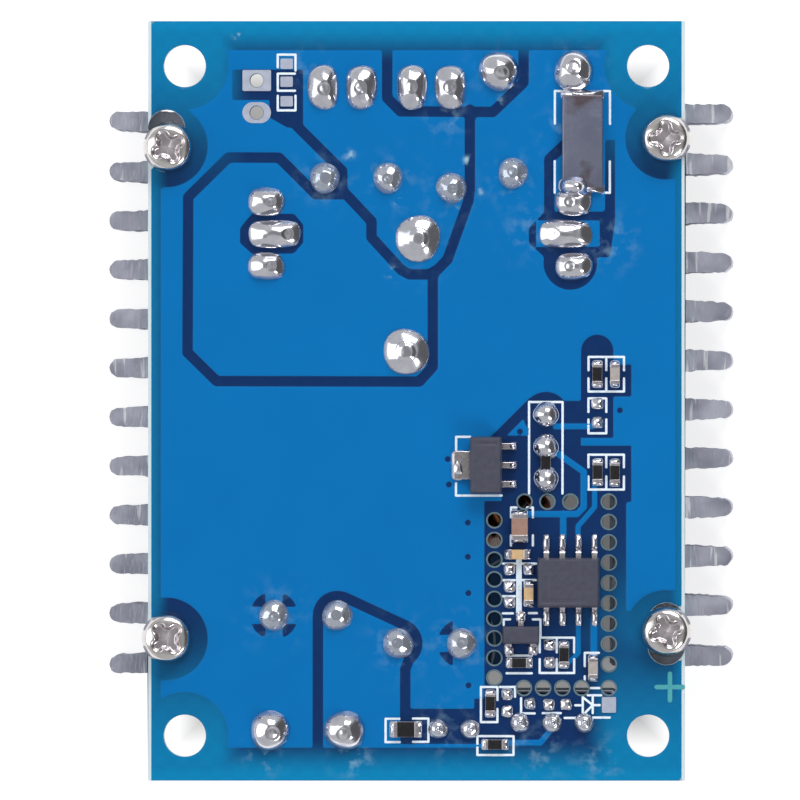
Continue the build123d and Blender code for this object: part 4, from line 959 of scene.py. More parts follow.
# Kinds: half sizes, height, roundness of the outline, lead end (offset, radius, rise), roughness
# of the dome, and how much dried flux glazes it
joint_kinds = [
    (terminal_joints, 1.59, 1.59, 1.15, 2.1, (-0.3, 0.1, 0.5, -0.1), 0.07, 0.0),
    (capacitor_joints, 1.21, 1.21, 0.85, 2.0, (0.0, 0.1, 0.35, -0.08), 0.10, 0.8),
    (inductor_joints, 1.82, 1.84, 0.95, 2.1, (0.0, 0.0, 0.72, 0.08), 0.05, 0.15),
    (clip_joints, 1.27, 1.77, 0.95, 2.1, (-0.1, 0.0, 0.45, -0.1), 0.09, 0.1),
    (select_joints, 1.04, 1.04, 0.85, 2.0, no_lead, 0.04, 0.0),
    (small_joints, 0.78, 0.78, 0.6, 2.0, (0.0, 0.0, 0.26, 0.06), 0.08, 0.3),
    (device_joints, 1.5, 1.12, 0.85, 2.2, (0.35, 0.0, 0.38, -0.08), 0.07, 0.0),
    (middle_joints, 2.12, 1.12, 0.85, 2.2, (1.0, 0.0, 0.4, -0.08), 0.06, 0.0)
]
rng = np.random.default_rng(4)


def slumps(plan, size, count=5):
    """Uneven surface from -1 to 1: the mean of a few sine waves at random turns and phases."""
    turn = rng.uniform(0, 2 * np.pi, count)
    phase = rng.uniform(0, 2 * np.pi, count)
    wave = rng.uniform(0.6, 1.6, count) * 2 * np.pi / size
    total = np.zeros(plan.shape[:-1])
    for a, b, k in zip(turn, phase, wave):
        total += np.sin(k * (plan[..., 0] * np.cos(a) + plan[..., 1] * np.sin(a)) + b)
    return total / count


def solder_dome(x, y, half_x, half_y, height, power, lead, rough, rings=20, sides=44):
    """Dome over a superellipse, full in the middle, steep at the rim, with slumps and a lead."""
    share = 1 - np.linspace(0, 1, rings) ** 1.3
    angle = np.arange(sides) * 2 * np.pi / sides
    c, s = np.cos(angle), np.sin(angle)
    reach = (np.abs(c) ** power + np.abs(s) ** power) ** (-1 / power)
    first, second = rng.uniform(0, 6), rng.uniform(0, 6)
    reach = reach * (1 + 0.025 * np.sin(2 * angle + first) + 0.02 * np.sin(3 * angle + second))
    low = min(half_x, half_y)
    radius = np.outer(share, reach * low)
    spread = (0.25 + 0.75 * share)[:, None]
    long_x = spread * (half_x - low) * np.clip(c * 1.8, -1, 1)
    long_y = spread * (half_y - low) * np.clip(s * 1.8, -1, 1)
    long_x[-1] = long_y[-1] = 0
    across = np.stack([radius * c + long_x, radius * s + long_y], -1)
    rise = np.clip(1 - share**1.7, 0, 1) ** 0.85
    level = np.repeat(height * rise[:, None], sides, 1)
    level += rough * slumps(across, 1.8) * (rise[:, None] ** 0.5)
    level += rough * 0.2 * slumps(across, 0.7) * rise[:, None]
    lead_x, lead_y, lead_radius, lead_rise = lead
    if lead_radius:
        off = np.hypot(across[..., 0] - lead_x, across[..., 1] - lead_y) - lead_radius
        level += lead_rise * (1 - smooth(off, -0.12, 0.1))
        level -= 0.07 * np.exp(-((off / 0.09) ** 2)) * (lead_rise > 0)
    level[0] = 0
    level[-1] = level[-1].mean()
    points = np.concatenate([across + (x, y), joint_floor + level[..., None]], -1)
    skirt = points[:1] * (1, 1, 0) - (0, 0, 0.02)
    points = np.concatenate([skirt, points])
    base = np.arange(sides)[None, ::-1]
    return points.reshape(-1, 3), [grid_faces(rings + 1, sides, False, True), base]


# Bright solder: nearly a mirror, cool in tone, with frosty patches; dried flux over a joint
# turns it greyer and bluer and fills its hollows
solder_bright = "ECECF2"
solder_frost = "BDBECA"
flux_glaze = "6E8CA8"
bright_solder, tree, shader, place = finish("bright_solder")
frost = node(tree, "TexNoise", {"Vector": place, "Scale": 1100.0, "Detail": 4.0})
fine_frost = node(tree, "TexNoise", {"Vector": place, "Scale": 3800.0, "Detail": 5.0})
glaze = node(tree, "Attribute", attribute_name="glaze").outputs["Fac"]
solder_tint = node(
    tree, "Mix", {0: frost, 6: linear(solder_frost), 7: linear(solder_bright)}, data_type="RGBA"
)
glazed = node(tree, "Math", {0: glaze, 1: fine_frost}, operation="MULTIPLY", use_clamp=True)
solder_tint = node(
    tree, "Mix", {0: glazed, 6: solder_tint, 7: linear(flux_glaze)}, data_type="RGBA"
)
bare_metal = node(tree, "MapRange", {"Value": glazed, "To Min": 1.0, "To Max": 0.45})
solder_gloss = node(
    tree, "MapRange",
    {"Value": frost, "From Min": 0.35, "From Max": 0.7, "To Min": 0.2, "To Max": 0.06}
)
solder_bump = node(tree, "Bump", {"Strength": 0.2, "Distance": 0.00005, "Height": frost})
solder_bump = node(
    tree, "Bump",
    {"Strength": 0.12, "Distance": 0.00001, "Height": fine_frost, "Normal": solder_bump}
)
fill(
    shader,
    {
        "Base Color": solder_tint, "Metallic": bare_metal, "Roughness": solder_gloss,
        "Normal": solder_bump
    }
)

domes, glaze_field = [], []
for places, half_x, half_y, height, power, lead, rough, glaze_share in joint_kinds:
    for x, y in places:
        turn = rng.uniform(0, 2 * np.pi)
        off = np.hypot(lead[0], lead[1])
        side = np.sign(x) if places in (device_joints, middle_joints) else 0
        lead_x = lead[0] * -side if side else off * np.cos(turn)
        lead_y = 0.0 if side else off * np.sin(turn)
        dome = solder_dome(x, y, half_x, half_y, height, power, (lead_x, lead_y, *lead[2:]), rough)
        domes.append(dome)
        glaze_field.append(np.full(len(dome[0]), glaze_share * rng.uniform(0.7, 1.2)))
lead_domes = piece(
    "lead_solder_joints", joined(domes), bright_solder, ["lead_joints"], shut=False,
    crease=70
)
shade(lead_domes, glaze=np.concatenate(glaze_field))

# Solder on the pads of chips that aren't fitted: small pillows, square at the foot, with a crease
empty_pads = [
    (14.3, -0.23), (14.29, -1.71), (7.34, -13.31), (8.91, -13.3), (7.34, -14.66), (7.34, -15.93),
    (10.52, -19.28), (10.52, -20.66), (7.17, -23.18), (7.17, -24.52), (9.0, -23.9), (10.48, -23.99),
    (11.82, -23.97)
]
pillows = [solder_dome(x, y, 0.47, 0.47, 0.36, 4.0, no_lead, 0.14, 12, 28) for x, y in empty_pads]
piece(
    "empty_pad_solder", joined(pillows), bright_solder, ["solder_blobs"], shut=False,
    crease=70
)

# Chips
# Surface-mount resistors and capacitors: a ceramic body with a tinned cap fired on each end, held
# by a small fillet of solder at both caps. Resistors have a black glaze on top, left unmarked.
resistor_places = [
    (14.3, 2.11, 1), (14.32, -5.63, 1), (15.68, -5.67, 1), (8.12, -20.69, 0), (11.67, -20.05, 1),
    (5.84, -23.91, 1), (6.21, -27.14, 0), (10.22, -4.9, 1)
]
large_resistor_places = [(-0.83, -25.95, 0)]
tan_capacitor_places = [(8.02, -12.13, 0), (8.88, -15.25, 1)]
grey_capacitor_places = [(13.96, -21.12, 1), (15.69, 2.12, 1)]
brown_capacitor_places = [(8.17, -9.94, 1)]
small_chip = (1.6, 0.82, 0.46)
large_chip = (2.02, 1.27, 0.56)
small_stack = (1.6, 0.8, 0.75)
large_stack = (2.1, 1.32, 1.15)


def block(low, high, radius, steps=3):
    """Rounded block: the eight parts of a sphere, each drawn out to its own corner."""
    low, high = np.array(low, float), np.array(high, float)
    quarter = np.linspace(0, np.pi / 2, steps + 1)
    around = np.concatenate([quarter + k * np.pi / 2 for k in range(4)])
    side_x = np.repeat([1, -1, -1, 1], steps + 1)
    side_y = np.repeat([1, 1, -1, -1], steps + 1)
    rise = np.concatenate([quarter - np.pi / 2, quarter])
    side_z = np.repeat([-1, 1], steps + 1)
    flat = np.cos(rise)[:, None]
    ball = np.stack(
        [flat * np.cos(around), flat * np.sin(around), np.sin(rise)[:, None] + 0 * around], -1
    )
    corner = np.stack(np.broadcast_arrays(side_x, side_y, side_z[:, None]), -1)
    half = (high - low) / 2
    points = (low + high) / 2 + corner * (half - radius) + ball * radius
    poles = points[[0, -1]].mean(1, keepdims=True).repeat(len(around), 1)
    points = np.concatenate([poles[:1], points, poles[1:]])
    return points.reshape(-1, 3), [grid_faces(len(points), len(around), False, True)]


def standing(shape, x, y, upright):
    """Shape made about the origin, turned a quarter if it stands upright, and set in its place."""
    points, faces = shape
    if upright:
        points = points @ np.array([[0, 1, 0], [-1, 0, 0], [0, 0, 1]], float)
    return points + (x, y, 0), faces


def chip_parts(places, size, body_inset, cap_length, bottom=0.05):
    """Bodies, caps and fillets of a set of like chips."""
    long, wide, tall = size
    bodies, caps, fillets = [], [], []
    for x, y, upright in places:
        half, side = long / 2, wide / 2
        inner = block(
            (-half + 0.08, -side + body_inset, bottom + body_inset),
            (half - 0.08, side - body_inset, tall - body_inset), 0.04
        )
        bodies.append(standing(inner, x, y, upright))
        for end in (-1, 1):
            cap = block(
                (min(end * half, end * (half - cap_length)), -side, bottom),
                (max(end * half, end * (half - cap_length)), side, tall), 0.07
            )
            caps.append(standing(cap, x, y, upright))
            toe = solder_dome(
                end * (half + 0.02), 0, 0.3, side * 1.08, tall * 0.62, 3.0, no_lead, 0.05, 10, 24
            )
            fillets.append(standing(toe, x, y, upright))
    return bodies, caps, fillets


def plain_finish(
    name, light, dark, scale, roughness, bump=0.3, depth=0.00002, metallic=0.0, **more_inputs
):
    """Plain moulded, fired or plated surface: two tones of one colour in fine mottles."""
    material, tree, shader, place = finish(name)
    mottle = node(tree, "TexNoise", {"Vector": place, "Scale": scale, "Detail": 6.0})
    tint = node(tree, "Mix", {0: mottle, 6: linear(dark), 7: linear(light)}, data_type="RGBA")
    gloss = node(
        tree, "MapRange",
        {
            "Value": mottle, "From Min": 0.3, "From Max": 0.7,
            "To Min": roughness * 0.8, "To Max": roughness * 1.25
        }
    )
    relief = node(tree, "Bump", {"Strength": bump, "Distance": depth, "Height": mottle})
    fill(
        shader,
        {
            "Base Color": tint, "Roughness": gloss, "Normal": relief, "Metallic": metallic,
            **more_inputs
        }
    )
    return material


chip_cap = plain_finish("tinned_chip_cap", "DAD6DA", "A7A1A8", 5200.0, 0.3, 0.6, 0.00002, 0.9)
alumina = plain_finish("white_alumina", "E4E1DA", "C9C6C0", 4000.0, 0.6)
black_glaze = plain_finish("black_resistor_glaze", "26262B", "101013", 3500.0, 0.22)
tan_ceramic = plain_finish("tan_fired_ceramic", "D8B98E", "C09F76", 3000.0, 0.42)
grey_ceramic = plain_finish("grey_fired_ceramic", "B9B2AE", "988F8C", 3000.0, 0.42)
brown_ceramic = plain_finish("brown_fired_ceramic", "A98678", "8C6C62", 3000.0, 0.45)

resistor_bodies, chip_caps, chip_fillets = chip_parts(resistor_places, small_chip, 0.03, 0.28)
large_bodies, large_caps, large_fillets = chip_parts(large_resistor_places, large_chip, 0.03, 0.36)
piece(
    "resistor_ceramic", joined(resistor_bodies + large_bodies), alumina,
    ["chip_resistors"]
)
glazes = []
for places, (long, wide, tall), cap in (
    (resistor_places, small_chip, 0.28),
    (large_resistor_places, large_chip, 0.36),
):
    for x, y, upright in places:
        pane = block(
            (cap - long / 2 - 0.02, -wide / 2 + 0.04, tall - 0.08),
            (long / 2 - cap + 0.02, wide / 2 - 0.04, tall + 0.015), 0.03
        )
        glazes.append(standing(pane, x, y, upright))
piece("resistor_glaze", joined(glazes), black_glaze)
chip_caps += large_caps
chip_fillets += large_fillets
for name, places, size, cap, material in (
    ("tan_ceramic_bodies", tan_capacitor_places, small_stack, 0.34, tan_ceramic),
    ("grey_ceramic_bodies", grey_capacitor_places, small_stack, 0.34, grey_ceramic),
    ("brown_ceramic_body", brown_capacitor_places, large_stack, 0.42, brown_ceramic),
):
    bodies, caps, fillets = chip_parts(places, size, 0.02, cap)
    chip_caps += caps
    chip_fillets += fillets
    stands_for = ["chip_capacitors"] if name == "brown_ceramic_body" else []
    piece(name, joined(bodies), material, stands_for)
piece("chip_end_caps", joined(chip_caps), chip_cap)
piece("chip_fillets", joined(chip_fillets), bright_solder, shut=False, crease=70)

# Packages
# Three moulded packages: the eight-lead control circuit, the signal transistor and the voltage
# regulator. Black epoxy, drafted from a parting line, matt from the mould; bent tinned leads.
mould_epoxy = plain_finish("matt_black_epoxy", "4A4B5C", "3A3B4B", 2600.0, 0.55, 0.35, 0.00002)


def moulded(x, y, half_x, half_y, low, high, draft=0.12, edge=0.09, dimple=None, rings=22):
    """Package body: rounded rectangles stacked from foot to parting line to top, then drawn in."""
    middle = (low + high) / 2 + 0.02
    stack = [(draft + 0.06, low), (draft, low + 0.05), (0.0, middle - 0.03), (0.0, middle + 0.03)]
    stack += [(draft, high - edge), (draft + edge * 0.3, high - edge * 0.3), (draft + edge, high)]
    outlines = [
        np.column_stack(
            [loop(0, 0, half_x - inset, half_y - inset, radius=0.1, count=64), np.full(64, z)]
        )
        for inset, z in stack
    ]
    shrink = np.linspace(1, 0, rings)[1:, None, None]
    top = outlines[-1][None] * np.concatenate([shrink, shrink, shrink**0], -1)
    foot = outlines[0] * (0, 0, 1)
    points = np.concatenate([foot[None], outlines, top])
    if dimple:
        off = np.hypot(points[..., 0] - dimple[0], points[..., 1] - dimple[1])
        on_top = points[..., 2] > high - 0.01
        points[..., 2] -= 0.09 * (1 - smooth(off, dimple[2] - 0.06, dimple[2] + 0.04)) * on_top
    points[..., :2] += (x, y)
    return points.reshape(-1, 3), [grid_faces(len(points), 64, False, True)]


def bent_lead(x, y, side, route, width, metal):
    """Flat strip bent along a route of reach and height, running out along Y on one side."""
    route = np.array(route, float)
    run = np.gradient(route, axis=0)
    run /= np.linalg.norm(run, axis=1, keepdims=True)
    normal = np.column_stack([-run[:, 1], run[:, 0]])
    outer = route + normal * metal / 2
    inner = route - normal * metal / 2
    rows = []
    for edge, across in ((outer, -1), (outer, 1), (inner, 1), (inner, -1)):
        reach, height = edge.T
        rows.append(
            np.column_stack([np.full(len(edge), x + across * width / 2), y + side * reach, height])
        )
    points = np.stack(rows, 1)
    last = 4 * (len(route) - 1)
    caps = np.array([[0, 1, 2, 3], [last + 3, last + 2, last + 1, last]])
    return points.reshape(-1, 3), [grid_faces(len(route), 4, False, True), caps]


lead_tin = plain_finish("tin_plated_leadframe", "DEDADC", "B2ABB2", 4200.0, 0.24, 0.5, 0.00002, 1.0)
piece(
    "control_circuit_body",
    moulded(12.03, -14.36, 2.45, 1.97, 0.12, 1.52, dimple=(-1.85, -1.35, 0.3), rings=34),
    mould_epoxy, ["controller_body"]
)
gull = [(1.6, 0.82), (2.12, 0.82), (2.22, 0.76), (2.3, 0.62), (2.38, 0.32), (2.46, 0.18),
        (2.6, 0.13), (3.0, 0.11)]
controller_leads = [
    bent_lead(12.18 + step * 1.27, -14.16, side, gull, 0.41, 0.19)
    for step in (-1.5, -0.5, 0.5, 1.5)
    for side in (-1, 1)
]
piece(
    "control_circuit_leads", joined(controller_leads), lead_tin,
    ["controller_leads"]
)
piece(
    "signal_transistor_moulding", moulded(8.26, -18.5, 1.45, 0.69, 0.1, 1.05, draft=0.08),
    mould_epoxy, ["signal_transistor_body"]
)
small_gull = [
    (0.6, 0.55), (0.82, 0.55), (0.9, 0.48), (0.96, 0.3), (1.02, 0.16), (1.12, 0.12), (1.3, 0.11)
]
signal_leads = [
    bent_lead(8.26 + step, -18.38, side, small_gull, 0.42, 0.15)
    for step, side in ((0, 1), (-0.95, -1), (0.95, -1))
]
piece(
    "signal_transistor_strips", joined(signal_leads), lead_tin,
    ["signal_transistor_leads"]
)
piece(
    "regulator_moulding",
    moulded(5.5, -5.08, 1.25, 2.25, 0.1, 1.6, draft=0.1, dimple=(0.75, 1.75, 0.16), rings=34),
    mould_epoxy, ["regulator_body"]
)
flat_leads = [
    block((6.6, -5.08 + step * 1.5 - 0.25, 0.06), (7.8, -5.08 + step * 1.5 + 0.25, 0.42), 0.06)
    for step in (-1, 0, 1)
]
flat_leads.append(block((2.93, -6.2, 0.06), (4.35, -3.96, 0.45), 0.08))
piece("regulator_strips", joined(flat_leads), lead_tin, ["regulator_leads"])

# Solder at the feet of the packages' leads
feet = [
    solder_dome(
        12.18 + step * 1.27, -14.16 + side * 2.95, 0.29, 0.68, 0.3, 3.0, no_lead, 0.07, 10, 24
    )
    for step in (-1.5, -0.5, 0.5, 1.5)
    for side in (-1, 1)
]
feet += [
    solder_dome(8.26 + step, -18.38 + side * 1.26, 0.42, 0.5, 0.34, 3.0, no_lead, 0.08, 10, 24)
    for step, side in ((0, 1), (-0.95, -1), (0.95, -1))
]
feet += [
    solder_dome(7.62, -5.08 + step * 1.5, 0.4, 0.36, 0.46, 3.0, no_lead, 0.08, 10, 24)
    for step in (-1, 0, 1)
]
feet.append(solder_dome(3.35, -5.08, 0.62, 1.2, 0.5, 3.0, no_lead, 0.12, 14, 36))
piece("package_solder", joined(feet), bright_solder, shut=False, crease=70)

# Current shunt
# A stamped strip of resistance alloy, rolled smooth and dull grey, soldered flat across the gap
# in the output copper. It is a little bowed and scratched along its length.
shunt_low = (11.53, 16.82)
shunt_high = (14.73, 24.16)
shunt_top = 0.8
shunt_metal, tree, shader, place = finish("rolled_resistance_alloy")
roll = node(tree, "Mapping", {"Vector": place, "Scale": (3000.0, 260.0, 800.0)})
roll_lines = node(tree, "TexNoise", {"Vector": roll, "Scale": 1.0, "Detail": 4.0})
bloom = node(tree, "TexNoise", {"Vector": place, "Scale": 500.0, "Detail": 5.0})
alloy = node(tree, "Mix", {0: bloom, 6: linear("6B7086"), 7: linear("8B90A4")}, data_type="RGBA")
# Flux has burnt to a brown crust towards both ends
along = node(tree, "SeparateXYZ", {0: place}).outputs["Y"]
off_middle = node(tree, "Math", {0: along, 1: 0.0205}, operation="SUBTRACT")
off_middle = node(tree, "Math", {0: off_middle}, operation="ABSOLUTE")
ragged = node(tree, "Math", {0: bloom, 1: 0.008, 2: off_middle}, operation="MULTIPLY_ADD")
crust = node(
    tree, "MapRange", {"Value": ragged, "From Min": 0.0066, "From Max": 0.008, "To Max": 0.85}
)
crusted = node(tree, "Mix", {0: crust, 6: alloy, 7: linear("5E5052")}, data_type="RGBA")
roll_bump = node(tree, "Bump", {"Strength": 0.5, "Distance": 0.00002, "Height": roll_lines})
roll_bump = node(
    tree, "Bump", {"Strength": 0.8, "Distance": 0.0002, "Height": bloom, "Normal": roll_bump}
)
fill(shader, {"Base Color": crusted, "Metallic": 0.85, "Roughness": 0.45, "Normal": roll_bump})
piece(
    "shunt_strip", block((*shunt_low, 0.05), (*shunt_high, shunt_top), 0.12), shunt_metal,
    ["current_shunt"]
)
shunt_solder = [
    solder_dome(13.13, y, 1.75, 0.42, 0.7, 3.0, no_lead, 0.1, 14, 40) for y in (24.2, 16.75)
]
shunt_solder.append(solder_dome(12.5, 16.95, 1.3, 1.1, 1.4, 2.2, no_lead, 0.16, 20, 40))
piece("shunt_solder", joined(shunt_solder), bright_solder, shut=False, crease=70)

# Component side
# The other face of the board under the same blue lacquer: its pours are parted by wide trenches,
# every lead has a tinned pad, and white outlines show where each component stands.
far_trenches = [
    [(-16.6, 30.0), (-16.6, 22.0), (-12.6, 18.0), (-12.6, 12.0), (-14.2, 10.4), (-14.2, -12.6)],
    [(-14.2, -12.6), (-16.4, -14.8), (-16.4, -30.0)],
    [(1.2, 30.0), (1.2, 13.6), (11.0, 9.4), (14.4, 6.0), (14.4, -6.6), (5.4, -12.2)],
    [(-3.4, -30.0), (-3.4, -15.2), (5.4, -12.2), (5.4, -22.6), (16.8, -22.6), (18.6, -24.4)]
]
far_trench_half = 0.42
far_ink_level = (-1.72, -1.64)
far_ink_width = 0.2
far_pad_radii = [
    (terminal_joints, 1.45), (capacitor_joints, 0.95), (inductor_joints, 1.6), (clip_joints, 1.0),
    (small_joints, 0.75), (select_joints, 1.0)
]
lead_pads = [(x, y, radius) for places, radius in far_pad_radii for x, y in places]
lead_pads += [(x, y, 1.1) for x in device_columns for y in device_rows]

tented = {(x, y) for x, y, radius in relief_holes[2:8]}
far_holes = [hole for hole in mask_holes if hole[:2] not in tented]
plan, faces, rim_points = lacquer_sheet(
    np.linspace(-mask_edge_x, mask_edge_x, 150), np.linspace(-30, 30, 211), far_holes
)
bare = [off_route(plan, route) - far_trench_half for route in far_trenches]
bare += [off_round(plan, x, y, 3.3) for x, y, radius in corner_holes + sink_holes]
bare += [off_round(plan, x, y, 3.3) for x, y in sink_slots]
bare += [20.1 - np.abs(plan[:, 0]), 28.6 - np.abs(plan[:, 1])]
cover = np.min(bare, axis=0)
component_side_mask = piece(
    "component_side_mask", lacquer(plan, faces, rim_points, cover, -1),
    mask_blue, shut=False, crease=60
)
far_haze = np.max(
    [0.35 * (1 - smooth(off_round(plan, x, y, r), 0, 0.8)) for x, y, r in lead_pads], axis=0
)
shade(component_side_mask, cover=cover, glow=np.zeros(len(plan)), haze=far_haze)

pad_rings = [
    turned(
        x, y, [(0.25, -1.6), (r, -1.6), (r, -1.7), (r * 0.55, -1.76), (0.36, -1.95), (0.2, -1.95)],
        24, True
    )
    for x, y, r in lead_pads
]
pad_rings += [
    turned(x, y, [(0.0, -1.6), (0.8, -1.65), (0.6, -1.9), (0.0, -1.98)], 24)
    for x, y in select_joints
]
piece("component_side_pads", joined(pad_rings), bright_solder, crease=60)


def frame_line(x, y, half_x, half_y, radius=None, count=72):
    """Printed outline: a rounded rectangle or circle and the same one a line's width inside it."""
    inner_radius = (radius or min(half_x, half_y)) - far_ink_width
    outer = loop(x, y, half_x, half_y, radius, count)
    inner = loop(x, y, half_x - far_ink_width, half_y - far_ink_width, inner_radius, count)
    return plate([outer, inner], *far_ink_level)


can_places = {
    "input_capacitor_left": (-4.74, 17.6, 180),
    "input_capacitor_right": (5.2, 17.4, 13.5),
    "output_capacitor_left": (-8.75, -16.95, 180),
    "output_capacitor_right": (1.06, -19.16, 0),
}
far_print = [frame_line(x, y, 5.2, 5.2) for x, y, angle in can_places.values()]
far_print += [frame_line(0, -0.6, 13.8, 13.8, count=120), frame_line(2.99, -25.92, 1.9, 1.9)]
far_print += [
    frame_line(*box, radius=0.4)
    for box in (
        (9.47, 26.3, 5.7, 3.65), (-8.61, -26.3, 5.7, 3.65), (-2.33, 24.77, 5.9, 2.2),
        (10.72, -25.42, 5.1, 2.75), (10.25, -3.62, 1.35, 3.9)
    )
]
for x, y in ((13.6, 21.6), (-12.6, -21.4)):
    far_print.append(plate([loop(x, y, 0.75, 0.1)], *far_ink_level))
    far_print.append(plate([loop(x, y, 0.1, 0.75)], far_ink_level[0] - 0.005, far_ink_level[1]))
for x, y in ((5.3, 21.6), (-4.4, -21.9)):
    far_print.append(plate([loop(x, y, 0.75, 0.1)], *far_ink_level))
piece("component_side_print", joined(far_print), white_ink, crease=60)

# Capacitors
# Four electrolytic capacitors: drawn aluminium cans in black shrink sleeves with a grey stripe on
# the minus side, rolled in above the rubber bung and scored in the top so that they can vent.
can_radius = 4.88
can_top = -17.42
stripe_half = 1.7
dash_half = (0.28, 1.05)
dash_pitch = 4.4
sleeve_wall = 0.08
sleeve_profile = [
    (4.05, can_top + 0.06), (4.2, can_top - 0.08), (4.6, can_top - 0.05), (4.8, can_top + 0.18),
    (can_radius, can_top + 0.55), *[(can_radius, z) for z in np.arange(-16.5, -5.0, 0.5)],
    (can_radius, -4.75), (4.76, -4.45), (4.68, -4.15), (4.76, -3.85), (can_radius, -3.55),
    (can_radius, -2.3), (4.8, -1.98), (4.6, -1.84), (4.35, -1.9)
]
sleeve_profile += [(radius - sleeve_wall, z) for radius, z in sleeve_profile[::-1]]

sleeve, tree, shader, place = finish("black_shrink_sleeve")
creases = node(tree, "TexNoise", {"Vector": place, "Scale": 700.0, "Detail": 6.0})
sleeve_black = node(
    tree, "Mix", {0: creases, 6: linear("1B1C22"), 7: linear("2A2C34")}, data_type="RGBA"
)
stripe_field = node(tree, "Attribute", attribute_name="stripe")
striped = node(
    tree, "MapRange",
    {
        "Value": stripe_field.outputs["Fac"], "From Min": -0.02, "From Max": 0.02, "To Min": 1.0,
        "To Max": 0.0
    }
)
sleeve_tint = node(
    tree, "Mix", {0: striped, 6: sleeve_black, 7: linear("AEB2B8")}, data_type="RGBA"
)
sleeve_gloss = node(
    tree, "MapRange",
    {"Value": creases, "From Min": 0.3, "From Max": 0.7, "To Min": 0.22, "To Max": 0.4}
)
sleeve_bump = node(tree, "Bump", {"Strength": 0.35, "Distance": 0.00004, "Height": creases})
fill(shader, {"Base Color": sleeve_tint, "Roughness": sleeve_gloss, "Normal": sleeve_bump})

can_metal = plain_finish("drawn_can_aluminium", "DCDDE0", "BFC1C6", 1100.0, 0.36, 0.4, 0.00003, 1.0)
bung_rubber = plain_finish("black_bung_rubber", "202124", "141416", 2200.0, 0.7, 0.5, 0.00004)


def can_face(x, y):
    """Scored top of a can: a disc with a cross pressed along four of its spokes, and a soft rim."""
    share = np.linspace(1, 0, 22)
    angle = np.arange(96) * 2 * np.pi / 96
    ring = np.stack([np.cos(angle), np.sin(angle)], -1)
    across = np.outer(share * 4.55, np.ones(96))[..., None] * ring
    off = np.abs(across).min(-1)
    far = np.linalg.norm(across, axis=-1)
    score = 0.14 * (1 - smooth(off, 0.02, 0.24)) * (1 - smooth(far, 3.0, 3.5))
    height = can_top + 0.1 + 0.2 * smooth(far, 4.2, 4.55) + score
    top = np.concatenate([across + (x, y), height[..., None]], -1)
    skirt = top[:1] * (1, 1, 0) + (0, 0, -2.2)
    foot = np.concatenate([skirt[..., :2] * 0 + (x, y), skirt[..., 2:]], -1)
    points = np.concatenate([foot, skirt, top])
    return points.reshape(-1, 3), [grid_faces(len(points), 96, False, True)]


for name, (x, y, angle) in can_places.items():
    wrapped = turned(x, y, sleeve_profile, 128, True)
    made = piece(
        name + "_sleeve", wrapped, sleeve, [name], shut=False, crease=50
    )
    points = wrapped[0]
    around = np.arctan2(points[:, 1] - y, points[:, 0] - x) - radians(angle)
    along = (around + np.pi) % (2 * np.pi) - np.pi
    stripe = np.abs(along) * can_radius - stripe_half
    step = (points[:, 2] + 10.2 + dash_pitch / 2) % dash_pitch - dash_pitch / 2
    dash = np.maximum(np.abs(along) * can_radius - dash_half[0], np.abs(step) - dash_half[1])
    shade(made, stripe=np.maximum(stripe, -dash))
piece(
    "can_tops", joined([can_face(x, y) for x, y, angle in can_places.values()]), can_metal,
)
bung_profile = [(0.0, -1.62), (3.9, -1.62), (4.1, -1.75), (4.25, -2.4), (0.0, -2.4)]
piece(
    "rubber_bungs", joined([turned(x, y, bung_profile, 48) for x, y, angle in can_places.values()]),
    bung_rubber
)
can_lead_profile = [(0.0, 0.0), (0.3, 0.0), (0.3, -2.0), (0.0, -2.0)]
piece(
    "capacitor_leads", joined([turned(x, y, can_lead_profile, 16) for x, y in capacitor_joints]),
    lead_tin
)

# Inductor
# A pressed powder ring in dark lacquer, wound by hand with 22 turns of thick enamelled copper.
# The turns lie side by side within the ring and fan out round it; both ends go through the board.
ring_centre = (0.0, -0.6)
core_profile = [
    (6.45, -3.95), (6.62, -3.52), (7.05, -3.35), (10.9, -3.35), (11.33, -3.52), (11.5, -3.95),
    (11.5, -10.35), (11.33, -10.78), (10.9, -10.95), (7.05, -10.95), (6.62, -10.78), (6.45, -10.35)
]
wire_radius = 0.725
lap_count = 21.5
lap_points = 40
winding_start, winding_end = 100.1, 449.4

core_lacquer = plain_finish("dark_core_lacquer", "33353A", "202226", 800.0, 0.42, 0.6, 0.0001)
piece(
    "pressed_ring_core", joined([turned(*ring_centre, core_profile, 96, True)]), core_lacquer,
    ["inductor_core"], crease=50
)


def wire(path, radius, sidelong, sides=12):
    """Round wire swept along a path; sidelong is a direction across it at each of its points."""
    run = np.gradient(path, axis=0)
    run /= np.linalg.norm(run, axis=1, keepdims=True)
    across = np.cross(run, sidelong)
    across /= np.linalg.norm(across, axis=1, keepdims=True)
    other = np.cross(run, across)
    angle = np.arange(sides) * 2 * np.pi / sides
    c, s = np.cos(angle)[None, :, None], np.sin(angle)[None, :, None]
    ring = c * across[:, None] + s * other[:, None]
    points = path[:, None] + ring * np.reshape(radius, (-1, 1, 1))
    return points.reshape(-1, 3), [grid_faces(len(path), sides, False, True)]


